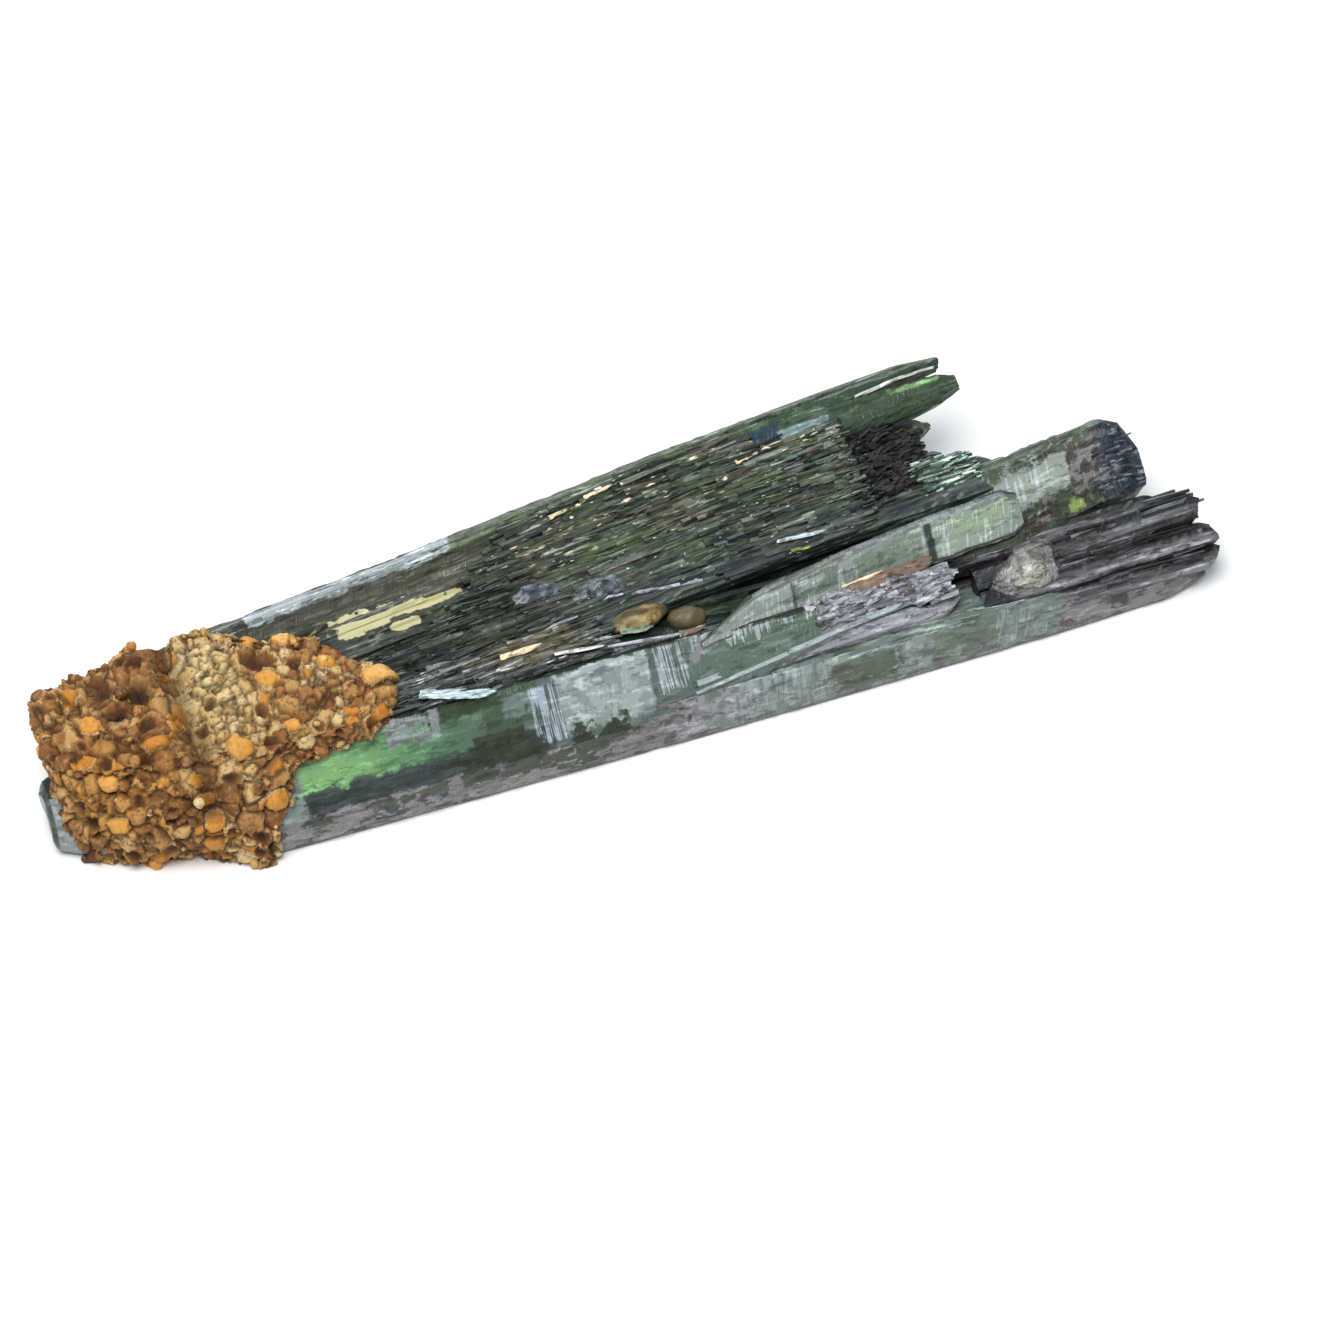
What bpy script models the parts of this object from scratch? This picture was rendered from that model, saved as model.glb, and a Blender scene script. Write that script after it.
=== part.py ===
# A vivianite shard: dark green blade crystals that grew together into one fan,
# with a crust of oolitic iron oxide on the left end and two brown grains in the cleft.
# +X runs along the crystals to their broken tips, +Y is the back and +Z is up.
# The shard rests on the flat cleavage under the crystals, at z = 0.
# Sizes are in millimetres and are turned to metres when a mesh is made.

import math
import random

import bmesh
import bpy
from mathutils import Matrix, Vector, noise

MM = 0.001
FIBRE_SEED = 15

# The middle of the shard's box in the numbers below, which becomes the origin.
BOX_MIDDLE = Vector((-0.93, 4.33, 0.0))

# The clear gap between two separate pieces.
GAP = 0.3

# Points closer than this are one point. In metres, as a mesh is when it is tidied.
DOUBLES = 0.0000005

# The half size of a block that cuts everything on one side of a plane.
FAR = 60.0

# A blade crystal is a flat six-sided bar: the share of its width that each bevel takes.
BLADE_BEVEL = 0.2

# The worn tip of each blade: its length, and the share of the section that is left at its end.
TIP_LENGTH = 0.45
TIP_WEAR = 0.62

# The crust of round grains: the size of its facets, its grains, how far its plain surface
# lies inside its outlines, its broad lumps, and its height over what the shard rests on.
CRUST_SEED = 18
CRUST_FACET = 0.5
OOLITE_COUNT = 170
OOLITE_RADIUS = (0.6, 1.15)
OOLITE_RISE = 0.75
CRUST_SINK = 0.22
CRUST_LUMP = 0.5
CRUST_LUMP_SIZE = 3.2
CRUST_FLOOR_GAP = 0.05

# The front crystal, as outlines (y, z) at stations along x. Each outline runs from the lower
# front edge, up the low bevel, up the leaning front face to the ridge, and down inside.
FRONT_CRYSTAL = [
    (-33.7, [(0.5, 0.35), (0.3, 1.0), (0.6, 2.2), (1.5, 3.3), (3.2, 3.2), (3.6, 0.3)]),
    (-31.0, [(-0.7, -0.2), (-1.0, 0.5), (-0.8, 1.9), (0.5, 4.2), (3.9, 4.3), (4.2, -0.2)]),
    (-22.5, [(-3.25, -0.2), (-3.5, 0.4), (-3.3, 2.1), (-0.8, 5.0), (2.2, 5.0), (2.8, -0.2)]),
    (-2.0, [(-3.4, -0.2), (-3.65, 0.4), (-3.4, 2.2), (-0.7, 5.2), (1.2, 4.7), (2.0, -0.2)]),
    (7.0, [(-2.6, 1.6), (-2.8, 2.4), (-2.75, 3.9), (-1.1, 5.25), (0.5, 4.6), (1.0, 0.6)]),
    (13.2, [(-1.6, 2.4), (-1.9, 3.0), (-1.7, 4.2), (-1.3, 5.1), (0.3, 4.7), (0.8, 1.8)]),
]

# The crystal along the lower front edge, with an upright face that ends in the far tips.
KEEL_CRYSTAL = [
    (-7.0, [(-3.2, -0.2), (-3.4, 0.4), (-2.1, 2.5), (-0.8, 2.6), (0.5, 2.2), (1.0, -0.2)]),
    (0.5, [(-3.4, -0.2), (-3.7, 0.4), (-3.15, 3.0), (-1.0, 3.2), (0.8, 2.4), (1.2, -0.2)]),
    (12.5, [(-3.35, -0.2), (-3.6, 0.4), (-3.15, 3.0), (-1.4, 3.0), (0.9, 2.2), (1.4, -0.2)]),
    (22.0, [(-3.25, -0.2), (-3.5, 0.4), (-2.85, 2.6), (-1.6, 2.5), (0.4, 1.9), (0.8, -0.2)]),
    (28.6, [(-2.95, -0.2), (-3.25, 0.4), (-2.7, 2.0), (-1.8, 2.1), (-0.9, 1.8), (-0.8, -0.2)]),
    (31.0, [(-2.6, 0.4), (-2.8, 0.8), (-2.5, 1.6), (-1.9, 1.8), (-1.2, 1.7), (-1.1, 0.6)]),
]

# The body under the spray. Its upper front has a groove that shows as the dark cleft, and its
# underside is flat at the front and steps up at the back.
CORE_BODY = [
    (-32.4, [(1.6, 0.3), (1.5, 4.1), (2.4, 4.7), (3.4, 5.2),
             (5.7, 5.4), (6.6, 4.0), (5.8, 1.1), (4.6, 0.3)]),
    (-22.0, [(0.0, -0.2), (0.2, 4.4), (0.9, 5.0), (2.0, 5.6),
             (6.5, 6.1), (8.0, 4.5), (7.3, 0.9), (5.6, -0.2)]),
    (-8.0, [(0.0, -0.2), (0.4, 4.5), (1.2, 4.6), (2.2, 5.4),
            (7.9, 6.1), (9.6, 4.5), (8.9, 1.0), (6.2, -0.2)]),
    (4.0, [(0.0, -0.2), (0.4, 3.8), (1.9, 3.9), (2.8, 5.2),
           (9.4, 6.1), (11.1, 4.4), (10.1, 1.3), (6.7, -0.2)]),
    (13.3, [(0.2, 0.3), (0.6, 3.2), (2.2, 3.3), (3.2, 4.9),
            (10.0, 5.0), (11.3, 4.2), (10.3, 1.9), (7.3, 0.8)]),
    (18.4, [(0.9, 1.2), (1.2, 3.2), (2.6, 3.4), (3.6, 4.3),
            (7.6, 4.2), (8.9, 3.6), (8.2, 2.4), (6.4, 1.7)]),
]

# The two long crystals that form the back rim, with a slit between their far tips.
RIM_UPPER = [
    (-33.3, [(4.6, 5.3), (5.6, 6.3), (6.4, 6.0), (6.6, 4.6), (5.2, 4.0)]),
    (-24.0, [(5.4, 5.7), (6.7, 6.7), (7.6, 6.3), (7.8, 4.8), (6.2, 4.2)]),
    (-12.0, [(6.6, 6.0), (8.0, 7.1), (8.9, 6.6), (9.1, 5.1), (7.2, 4.4)]),
    (4.0, [(9.1, 6.3), (10.3, 7.3), (11.1, 6.8), (11.3, 5.2), (9.6, 4.6)]),
    (14.0, [(10.9, 6.5), (11.7, 7.1), (12.3, 6.7), (12.4, 5.4), (11.1, 5.0)]),
    (18.5, [(11.9, 6.4), (12.3, 6.9), (12.8, 6.6), (12.9, 5.6), (12.0, 5.4)]),
    (20.9, [(12.2, 6.2), (12.5, 6.6), (12.8, 6.4), (12.9, 5.8), (12.4, 5.6)]),
]
RIM_LOWER = [
    (-25.0, [(4.2, 4.9), (4.6, 5.8), (6.3, 6.0), (6.8, 4.8), (4.8, 4.2)]),
    (-2.4, [(6.5, 5.3), (6.9, 6.5), (8.7, 6.8), (9.1, 5.2), (7.0, 4.4)]),
    (10.5, [(8.6, 5.4), (9.1, 6.4), (10.8, 6.9), (11.1, 5.4), (9.2, 4.4)]),
    (17.0, [(9.5, 5.2), (9.9, 6.2), (11.3, 6.6), (11.5, 5.4), (10.0, 4.5)]),
    (20.3, [(10.1, 5.5), (10.4, 6.2), (11.5, 6.5), (11.6, 5.6), (10.5, 5.0)]),
    (21.6, [(10.7, 5.5), (10.9, 6.0), (11.5, 6.1), (11.6, 5.7), (11.0, 5.3)]),
]

# The pale striped blade that lies above the front crystal, from a point to a broken end.
STRIPED_BLADE = [
    (1.9, [(-1.5, 4.9), (-1.35, 5.15), (-1.2, 5.1), (-1.1, 4.7)]),
    (5.5, [(-1.1, 4.9), (0.0, 5.95), (0.6, 5.8), (0.5, 4.7)]),
    (11.0, [(-0.6, 4.8), (0.9, 6.25), (1.6, 6.0), (1.3, 4.4)]),
    (16.5, [(0.0, 4.7), (1.6, 6.3), (2.4, 6.0), (2.0, 4.2)]),
    (20.8, [(0.5, 4.5), (2.0, 6.1), (2.8, 5.9), (2.5, 4.2)]),
    (21.6, [(1.0, 4.6), (2.1, 5.7), (2.6, 5.6), (2.4, 4.4)]),
]

# The wide blunt blade at the right, with its top face leaning to the front.
BLUNT_BLADE = [
    (12.0, [(0.9, 3.5), (3.4, 4.7), (4.5, 4.6), (4.4, 2.3), (1.3, 1.7)]),
    (20.4, [(0.1, 4.0), (3.9, 6.3), (4.7, 6.1), (4.5, 3.0), (0.8, 2.2)]),
    (27.6, [(1.4, 4.5), (4.75, 6.85), (5.4, 6.55), (5.1, 3.6), (1.8, 2.6)]),
    (28.7, [(1.8, 4.3), (4.7, 6.3), (5.2, 6.0), (4.9, 3.6), (2.1, 2.8)]),
    (29.4, [(2.1, 4.1), (3.6, 5.2), (4.2, 5.0), (4.0, 3.7), (2.4, 3.2)]),
]

# Blades of the spray: start and end of the axis, (width, depth) at each end, the roll about
# the axis in degrees, and how far the end is cut aslant.
SPRAY_BLADES = [
    ((-21.0, 5.2, 5.35), (14.4, 9.9, 5.75), (1.5, 1.5), (2.1, 1.6), 14, 0.4),
    ((-15.0, 4.6, 5.45), (13.6, 8.4, 6.05), (1.1, 1.3), (1.7, 1.5), -10, -0.4),
    ((-20.0, 3.9, 5.25), (14.0, 7.1, 5.75), (1.4, 1.4), (1.8, 1.5), 12, 0.5),
    ((-11.0, 3.6, 5.35), (12.9, 6.1, 6.0), (1.0, 1.2), (1.3, 1.4), -16, -0.4),
    ((-18.0, 2.9, 5.1), (13.3, 5.0, 5.6), (1.4, 1.4), (1.6, 1.6), 18, 0.5),
    ((-7.0, 3.0, 5.2), (21.2, 4.9, 5.6), (1.2, 1.4), (1.5, 1.3), 8, -0.3),
    ((-15.0, 2.0, 4.9), (20.7, 3.7, 5.45), (1.3, 1.3), (1.5, 1.3), 24, -0.5),
    ((-5.0, 1.9, 4.9), (12.6, 3.2, 5.3), (1.1, 1.2), (1.2, 1.3), 30, 0.4),
    ((-24.0, 6.4, 5.2), (11.8, 11.0, 5.7), (1.4, 1.5), (1.7, 1.8), -12, 0.4),
    ((-2.0, 7.0, 5.3), (18.7, 9.7, 4.7), (1.3, 1.4), (1.5, 1.5), 6, -0.6),
    ((2.0, 6.0, 5.0), (18.4, 8.2, 4.25), (1.4, 1.5), (1.5, 1.5), -14, 0.5),
    ((4.0, 5.2, 5.0), (18.9, 6.9, 4.5), (1.4, 1.4), (1.4, 1.4), 10, 0.4),
    ((4.0, 4.4, 5.0), (19.9, 5.9, 5.3), (1.4, 1.4), (1.2, 1.3), 15, 0.4),
    ((-14.0, 1.2, 4.7), (-0.5, 1.5, 5.0), (1.0, 1.1), (0.8, 1.0), 35, 0.3),
]

# Fine laths along the top of the spray. Their share across the fan runs from the cleft (0)
# to the back rim (1), between two lines given as (y at x = 0, how much y grows for each x).
FIBRE_COUNT = 30
FIBRE_FRONT_LINE = (2.3, 0.095)
FIBRE_BACK_LINE = (8.6, 0.155)
FIBRE_STARTS = (-16.0, 3.0)
FIBRE_ENDS = (6.0, 14.0)
FIBRE_TOP_Z = (6.3, 6.85)
FIBRE_WIDTHS = (0.45, 0.85)
FIBRE_DEPTH = 0.8
FIBRE_LIFTS = (-0.1, 0.25)
FIBRE_ROLL = 40.0
FIBRE_SLANT = 0.2

# Blades on the back and under the spray, which end in steps behind and below it.
BACK_BLADES = [
    ((-27.0, 6.2, 3.4), (8.5, 11.1, 3.7), (2.2, 2.6), (2.4, 2.8), 70, 0.7),
    ((-20.0, 6.4, 1.6), (2.0, 9.7, 1.6), (2.4, 2.0), (2.2, 1.8), 40, -0.6),
    ((-4.0, 7.6, 2.6), (15.8, 10.6, 3.6), (2.4, 2.2), (2.0, 1.9), 55, 0.7),
    ((-6.0, 6.8, 1.2), (11.5, 8.8, 1.6), (2.6, 1.8), (2.0, 1.4), 12, 0.6),
    ((-28.5, 4.8, 1.0), (-5.0, 7.2, 0.85), (2.0, 1.3), (2.2, 1.2), 22, 0.5),
    ((2.0, 3.6, 1.0), (17.2, 4.6, 1.5), (3.0, 1.8), (2.2, 1.4), -8, -0.7),
    ((6.0, 2.0, 1.8), (24.0, 2.3, 2.6), (2.6, 2.0), (1.8, 1.2), 15, 0.6),
]

# The dark ridged bundle at the far right, above the keel.
RIDGE_BLADES = [
    ((16.5, 0.8, 3.1), (29.0, 0.5, 3.75), (1.8, 1.6), (1.6, 1.4), 20, 0.3),
    ((18.0, -0.5, 2.7), (31.3, -0.4, 3.75), (1.9, 1.8), (1.7, 1.5), 34, 0.25),
    ((18.0, -1.6, 2.2), (31.8, -1.6, 2.95), (1.7, 1.8), (1.5, 1.5), 45, -0.25),
    ((17.0, -2.2, 1.7), (31.7, -2.45, 1.95), (1.6, 1.6), (1.4, 1.3), 55, 0.25),
    ((15.0, -0.4, 1.2), (28.5, -0.6, 2.0), (2.8, 2.2), (2.2, 1.8), 8, -0.5),
]

# Thin flakes where the front crystal breaks off in steps, and the long splinter on its face.
FLAKE_BLADES = [
    ((8.0, -1.7, 3.9), (16.6, -0.9, 4.3), (1.4, 0.9), (1.2, 0.7), 42, 0.5),
    ((6.0, -2.3, 3.3), (14.8, -2.0, 3.55), (1.2, 0.8), (1.1, 0.7), 48, -0.5),
    ((9.0, -2.1, 2.9), (16.4, -1.9, 3.1), (1.3, 0.8), (1.2, 0.7), 30, 0.5),
    ((9.5, -0.7, 4.6), (15.4, -0.1, 4.7), (1.2, 0.8), (1.1, 0.6), 25, 0.5),
    ((-3.0, -2.75, 2.95), (14.6, -1.6, 4.4), (0.5, 0.45), (0.6, 0.5), 45, 0.2),
]

# Smooth lumps of broken crystal: centre, half sizes and turn about z in degrees.
LUMPS = [
    ((20.9, -1.1, 2.8), (2.15, 1.4, 1.55), 12),
    ((-5.6, 4.3, 5.85), (1.5, 0.7, 0.6), 8),
    ((-2.2, 3.6, 5.7), (1.6, 0.65, 0.6), 8),
]

# The grains in the cleft: centre, half sizes and turn about z in degrees.
CLEFT_GRAINS = {
    "cleft_grain_long": ((-0.75, 1.55, 5.0), (1.55, 0.72, 0.72), 6),
    "cleft_grain_short": ((1.85, 0.85, 4.75), (1.05, 0.68, 0.72), -10),
}

# The outside of the crust as outlines (y, z) at stations along x. Each outline runs up the
# front, over the top, and back through the crystals, where the crust is cut away.
CRUST_OUTLINES = [
    (-33.4, [(1.5, 1.4), (0.4, 2.6), (0.6, 4.4), (1.8, 5.6),
             (3.3, 6.0), (5.2, 5.9), (4.8, 3.6), (3.0, 1.6)]),
    (-32.5, [(0.8, 0.6), (-0.6, 2.4), (-0.2, 4.6), (1.1, 6.0),
             (3.4, 6.5), (6.0, 6.4), (5.4, 3.8), (2.6, 0.8)]),
    (-30.5, [(-0.3, -0.4), (-1.9, 2.3), (-1.6, 4.7), (0.1, 6.4),
             (3.4, 7.0), (6.6, 6.9), (5.8, 4.4), (2.4, 0.4)]),
    (-27.0, [(-1.5, -0.4), (-3.2, 2.3), (-2.7, 4.7), (-0.4, 6.6),
             (3.4, 7.2), (7.0, 7.1), (6.1, 4.6), (2.0, 0.4)]),
    (-24.6, [(-2.4, -0.4), (-3.9, 2.3), (-3.0, 4.7), (-0.9, 6.6),
             (3.2, 7.4), (7.4, 7.2), (6.4, 5.0), (1.5, 0.4)]),
    (-23.5, [(-4.3, -0.4), (-4.2, 1.8), (-3.0, 4.7), (-0.9, 6.5),
             (3.2, 7.4), (7.4, 7.2), (6.3, 5.0), (1.2, 0.5)]),
    (-22.6, [(-3.6, 0.4), (-4.0, 1.9), (-2.9, 4.6), (-1.0, 6.4),
             (3.1, 7.3), (7.0, 7.1), (6.1, 5.0), (0.9, 0.9)]),
    (-21.7, [(-2.4, 2.2), (-3.2, 3.0), (-2.6, 4.7), (-1.1, 6.3),
             (3.0, 7.3), (6.6, 7.1), (5.8, 5.1), (0.6, 2.2)]),
    (-20.8, [(-1.0, 3.9), (-1.9, 4.4), (-2.0, 5.2), (-1.1, 6.2),
             (2.8, 7.2), (6.0, 7.0), (5.4, 5.2), (0.6, 4.0)]),
    (-18.0, [(-0.9, 4.2), (-1.5, 4.7), (-1.6, 5.4), (-1.1, 6.2),
             (2.2, 7.1), (5.2, 6.9), (4.8, 5.2), (0.8, 4.2)]),
    (-16.6, [(-0.8, 4.3), (-1.3, 4.8), (-1.4, 5.4), (-0.8, 6.1),
             (1.8, 6.8), (4.0, 6.6), (3.8, 5.0), (0.8, 4.3)]),
    (-15.2, [(-0.2, 4.8), (-0.5, 5.1), (-0.5, 5.5), (0.2, 6.0),
             (1.6, 6.4), (2.7, 6.2), (2.6, 5.3), (1.0, 4.9)]),
]

# Deep pits between the grains: centre on the crust's surface and radius.
CRUST_PITS = [
    ((-29.6, 4.9, 6.6), 0.9),
    ((-27.9, 4.3, 6.9), 1.0),
    ((-29.2, 3.3, 6.9), 0.7),
    ((-28.6, 0.2, 6.3), 0.7),
    ((-22.3, 6.0, 7.2), 0.6),
    ((-22.9, -3.9, 1.2), 0.5),
]
PIT_DEPTH = 1.3

# How fast a pit or the groove closes away from its middle.
HOLLOW_FALL = 2.0

# The groove that parts the crust's coarse left half from the finer ridge beside it.
CRUST_GROOVE_X = -25.9
CRUST_GROOVE_WIDTH = 0.9
CRUST_GROOVE_DEPTH = 0.75
CRUST_GROOVE_LOW_Z = 3.5


def clear_scene():
    """Removes whatever objects the scene holds."""
    for old in list(bpy.data.objects):
        bpy.data.objects.remove(old, do_unlink=True)


def make_material(name, colour, roughness):
    """A plain stone or glassy finish for one sub-part."""
    material = bpy.data.materials.new(name)
    material.use_nodes = True
    shader = material.node_tree.nodes["Principled BSDF"]
    shader.inputs["Base Color"].default_value = (*colour, 1.0)
    shader.inputs["Roughness"].default_value = roughness
    shader.inputs["Metallic"].default_value = 0.0
    material.diffuse_color = (*colour, 1.0)
    return material


def grown_outline(outline, grow):
    """The closed outline with every side moved outwards by grow."""
    if grow == 0.0:
        return outline
    area = sum(a[0] * b[1] - b[0] * a[1] for a, b in zip(outline, outline[1:] + outline[:1]))
    outward = 1.0 if area > 0.0 else -1.0
    grown = []
    for index, (y, z) in enumerate(outline):
        before = Vector((y, z)) - Vector(outline[index - 1])
        after = Vector(outline[(index + 1) % len(outline)]) - Vector((y, z))
        side_a = Vector((before.y, -before.x)).normalized() * outward
        side_b = Vector((after.y, -after.x)).normalized() * outward
        move = (side_a + side_b) * grow / (1.0 + side_a.dot(side_b))
        grown.append((y + move.x, z + move.y))
    return grown


def loft(rings):
    """A closed mesh through rings of points, with a flat cap on each end."""
    mesh = bmesh.new()
    rows = [[mesh.verts.new(point) for point in ring] for ring in rings]
    count = len(rows[0])
    for row, following in zip(rows, rows[1:]):
        for index in range(count):
            after = (index + 1) % count
            mesh.faces.new((row[index], row[after], following[after], following[index]))
    mesh.faces.new(rows[0])
    mesh.faces.new(reversed(rows[-1]))
    bmesh.ops.triangulate(mesh, faces=mesh.faces)
    bmesh.ops.recalc_face_normals(mesh, faces=mesh.faces)
    return mesh


def station_crystal(stations, grow=0.0):
    """A crystal lofted through outlines at stations along x."""
    rings = []
    last = len(stations) - 1
    for index, (x, outline) in enumerate(stations):
        reach = -grow if index == 0 else grow if index == last else 0.0
        rings.append([(x + reach, y, z) for y, z in grown_outline(outline, grow)])
    return loft(rings)


def blade_crystal(start, end, size_start, size_end, roll, slant, grow=0.0):
    """A flat six-sided bar from start to end, rolled about its axis, with a slanted end."""
    start = Vector(start)
    end = Vector(end)
    along = (end - start).normalized()
    across = Vector((0.0, 0.0, 1.0)).cross(along).normalized()
    across = Matrix.Rotation(math.radians(roll), 3, along) @ across
    up = along.cross(across)
    inner = 0.5 - BLADE_BEVEL
    section = [(-0.5, 0.0), (-inner, 0.5), (inner, 0.5), (0.5, 0.0), (inner, -0.5), (-inner, -0.5)]
    worn = (size_end[0] * TIP_WEAR, size_end[1] * TIP_WEAR)
    stages = [
        (start - along * grow, size_start, 0.0),
        (end - along * TIP_LENGTH, size_end, slant),
        (end + along * grow, worn, slant),
    ]
    rings = []
    for centre, size, skew in stages:
        width = size[0] + 2.0 * grow
        depth = size[1] + 2.0 * grow
        rings.append([centre + across * u * width + up * v * depth + along * u * 2.0 * skew
                      for u, v in section])
    return loft(rings)


def lump(centre, half_sizes, turn, grow=0.0, segments=12, rings=8):
    """A smooth rounded lump."""
    mesh = bmesh.new()
    bmesh.ops.create_uvsphere(mesh, u_segments=segments, v_segments=rings, radius=1.0)
    sizes = [half + grow for half in half_sizes]
    place = Matrix.Translation(centre) @ Matrix.Rotation(math.radians(turn), 4, "Z")
    bmesh.ops.transform(mesh, matrix=place @ Matrix.Diagonal((*sizes, 1.0)), verts=mesh.verts)
    return mesh


def block(low, high):
    """A plain box, which cuts the others."""
    mesh = bmesh.new()
    bmesh.ops.create_cube(mesh, size=1.0)
    size = Vector(high) - Vector(low)
    middle = (Vector(high) + Vector(low)) / 2.0
    place = Matrix.Translation(middle) @ Matrix.Diagonal((*size, 1.0))
    bmesh.ops.transform(mesh, matrix=place, verts=mesh.verts)
    return mesh


def linked_object(mesh, name):
    """A linked object that takes over the mesh as it is."""
    data = bpy.data.meshes.new(name)
    mesh.to_mesh(data)
    mesh.free()
    made = bpy.data.objects.new(name, data)
    bpy.context.scene.collection.objects.link(made)
    return made


def to_object(mesh, name):
    """A linked object from a mesh in the design's millimetres, placed about the origin in metres."""
    bmesh.ops.translate(mesh, vec=-BOX_MIDDLE, verts=mesh.verts)
    bmesh.ops.scale(mesh, vec=(MM, MM, MM), verts=mesh.verts)
    return linked_object(mesh, name)


def as_guides(objects, name):
    """The objects as hidden guides in a collection of their own, for a Boolean to use."""
    group = bpy.data.collections.new(name)
    bpy.context.scene.collection.children.link(group)
    for guide in objects:
        bpy.context.scene.collection.objects.unlink(guide)
        group.objects.link(guide)
        guide.hide_render = True
        guide.display_type = "WIRE"
    return group


def as_cutters(meshes, name):
    """Hidden guide objects made from meshes."""
    guides = [to_object(mesh, f"{name}_{number:02d}") for number, mesh in enumerate(meshes)]
    return as_guides(guides, name)


def apply_boolean(target, group, operation):
    """Joins or cuts the target with every object of the group."""
    modifier = target.modifiers.new(operation.lower(), "BOOLEAN")
    modifier.operation = operation
    modifier.operand_type = "COLLECTION"
    modifier.collection = group
    modifier.solver = "EXACT"
    bpy.context.view_layer.update()
    evaluated = target.evaluated_get(bpy.context.evaluated_depsgraph_get())
    result = bpy.data.meshes.new_from_object(evaluated)
    target.modifiers.clear()
    target.data = result
    for guide in list(group.objects):
        bpy.data.objects.remove(guide, do_unlink=True)
    bpy.data.collections.remove(group)


def tidy_mesh(target):
    """Merges doubles, drops slivers and keeps the largest closed shell."""
    mesh = bmesh.new()
    mesh.from_mesh(target.data)
    bmesh.ops.triangulate(mesh, faces=mesh.faces)
    bmesh.ops.remove_doubles(mesh, verts=mesh.verts, dist=DOUBLES)
    bmesh.ops.dissolve_degenerate(mesh, edges=mesh.edges, dist=DOUBLES)
    bmesh.ops.triangulate(mesh, faces=mesh.faces)
    shells = []
    unseen = set(mesh.faces)
    while unseen:
        stack = [unseen.pop()]
        shell = list(stack)
        while stack:
            for edge in stack.pop().edges:
                for face in edge.link_faces:
                    if face in unseen:
                        unseen.discard(face)
                        stack.append(face)
                        shell.append(face)
        shells.append(shell)
    shells.sort(key=len)
    for shell in shells[:-1]:
        bmesh.ops.delete(mesh, geom=shell, context="FACES")
    loose = [vert for vert in mesh.verts if not vert.link_faces]
    bmesh.ops.delete(mesh, geom=loose, context="VERTS")
    bmesh.ops.recalc_face_normals(mesh, faces=mesh.faces)
    mesh.to_mesh(target.data)
    mesh.free()


def fibre_rows():
    """The fine laths of the spray, as rows like those of the other blades."""
    draw = random.Random(FIBRE_SEED)
    rows = []
    for number in range(FIBRE_COUNT):
        share = (number + draw.random()) / FIBRE_COUNT
        base_y = FIBRE_FRONT_LINE[0] + share * (FIBRE_BACK_LINE[0] - FIBRE_FRONT_LINE[0])
        growth = FIBRE_FRONT_LINE[1] + share * (FIBRE_BACK_LINE[1] - FIBRE_FRONT_LINE[1])
        start_x = draw.uniform(*FIBRE_STARTS)
        end_x = draw.uniform(*FIBRE_ENDS)
        top_z = FIBRE_TOP_Z[0] + share * (FIBRE_TOP_Z[1] - FIBRE_TOP_Z[0])
        width = draw.uniform(*FIBRE_WIDTHS)
        rows.append((
            (start_x, base_y + growth * start_x, top_z - FIBRE_DEPTH),
            (end_x, base_y + growth * end_x, top_z - FIBRE_DEPTH / 2.0 + draw.uniform(*FIBRE_LIFTS)),
            (width, FIBRE_DEPTH),
            (width, FIBRE_DEPTH),
            draw.uniform(-FIBRE_ROLL, FIBRE_ROLL),
            draw.uniform(-FIBRE_SLANT, FIBRE_SLANT),
        ))
    return rows


def crystal_solids(grow=0.0, reach=None):
    """Every crystal's own solid. With reach, only those that start to the left of it."""
    solids = []
    for stations in (FRONT_CRYSTAL, KEEL_CRYSTAL, CORE_BODY, RIM_UPPER, RIM_LOWER,
                     STRIPED_BLADE, BLUNT_BLADE):
        if reach is None or stations[0][0] < reach:
            solids.append(station_crystal(stations, grow))
    for row in SPRAY_BLADES + fibre_rows() + BACK_BLADES + RIDGE_BLADES + FLAKE_BLADES:
        if reach is None or row[0][0] < reach:
            solids.append(blade_crystal(*row, grow=grow))
    return solids


def build_crystals(material):
    """The fan of crystals as one solid, with a flat underside and sockets for the grains."""
    solids = crystal_solids()
    solids += [lump(centre, sizes, turn) for centre, sizes, turn in LUMPS]
    crystals = to_object(solids[0], "vivianite_crystals")
    apply_boolean(crystals, as_cutters(solids[1:], "grown"), "UNION")
    cutters = [block((-FAR, -FAR, -FAR), (FAR, FAR, 0.0))]
    cutters += [lump(centre, sizes, turn, GAP) for centre, sizes, turn in CLEFT_GRAINS.values()]
    apply_boolean(crystals, as_cutters(cutters, "cut"), "DIFFERENCE")
    tidy_mesh(crystals)
    crystals.data.materials.clear()
    crystals.data.materials.append(material)
    return crystals


def crust_relief(point, oolites):
    """How far the crust's surface stands proud at a point: round grains, lumps, pits, a groove."""
    rise = CRUST_LUMP * noise.noise(point / CRUST_LUMP_SIZE) - CRUST_SINK
    grain = 0.0
    for centre, radius in oolites:
        away = (point - centre).length
        if away < radius:
            grain = max(grain, OOLITE_RISE * math.sqrt(1.0 - (away / radius) ** 2) * radius)
    rise += grain
    for centre, radius in CRUST_PITS:
        away = (point - Vector(centre)).length / radius
        rise -= PIT_DEPTH * math.exp(-HOLLOW_FALL * away * away)
    if point.z > CRUST_GROOVE_LOW_Z:
        away = (point.x - CRUST_GROOVE_X) / CRUST_GROOVE_WIDTH
        rise -= CRUST_GROOVE_DEPTH * math.exp(-HOLLOW_FALL * away * away)
    return rise


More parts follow.
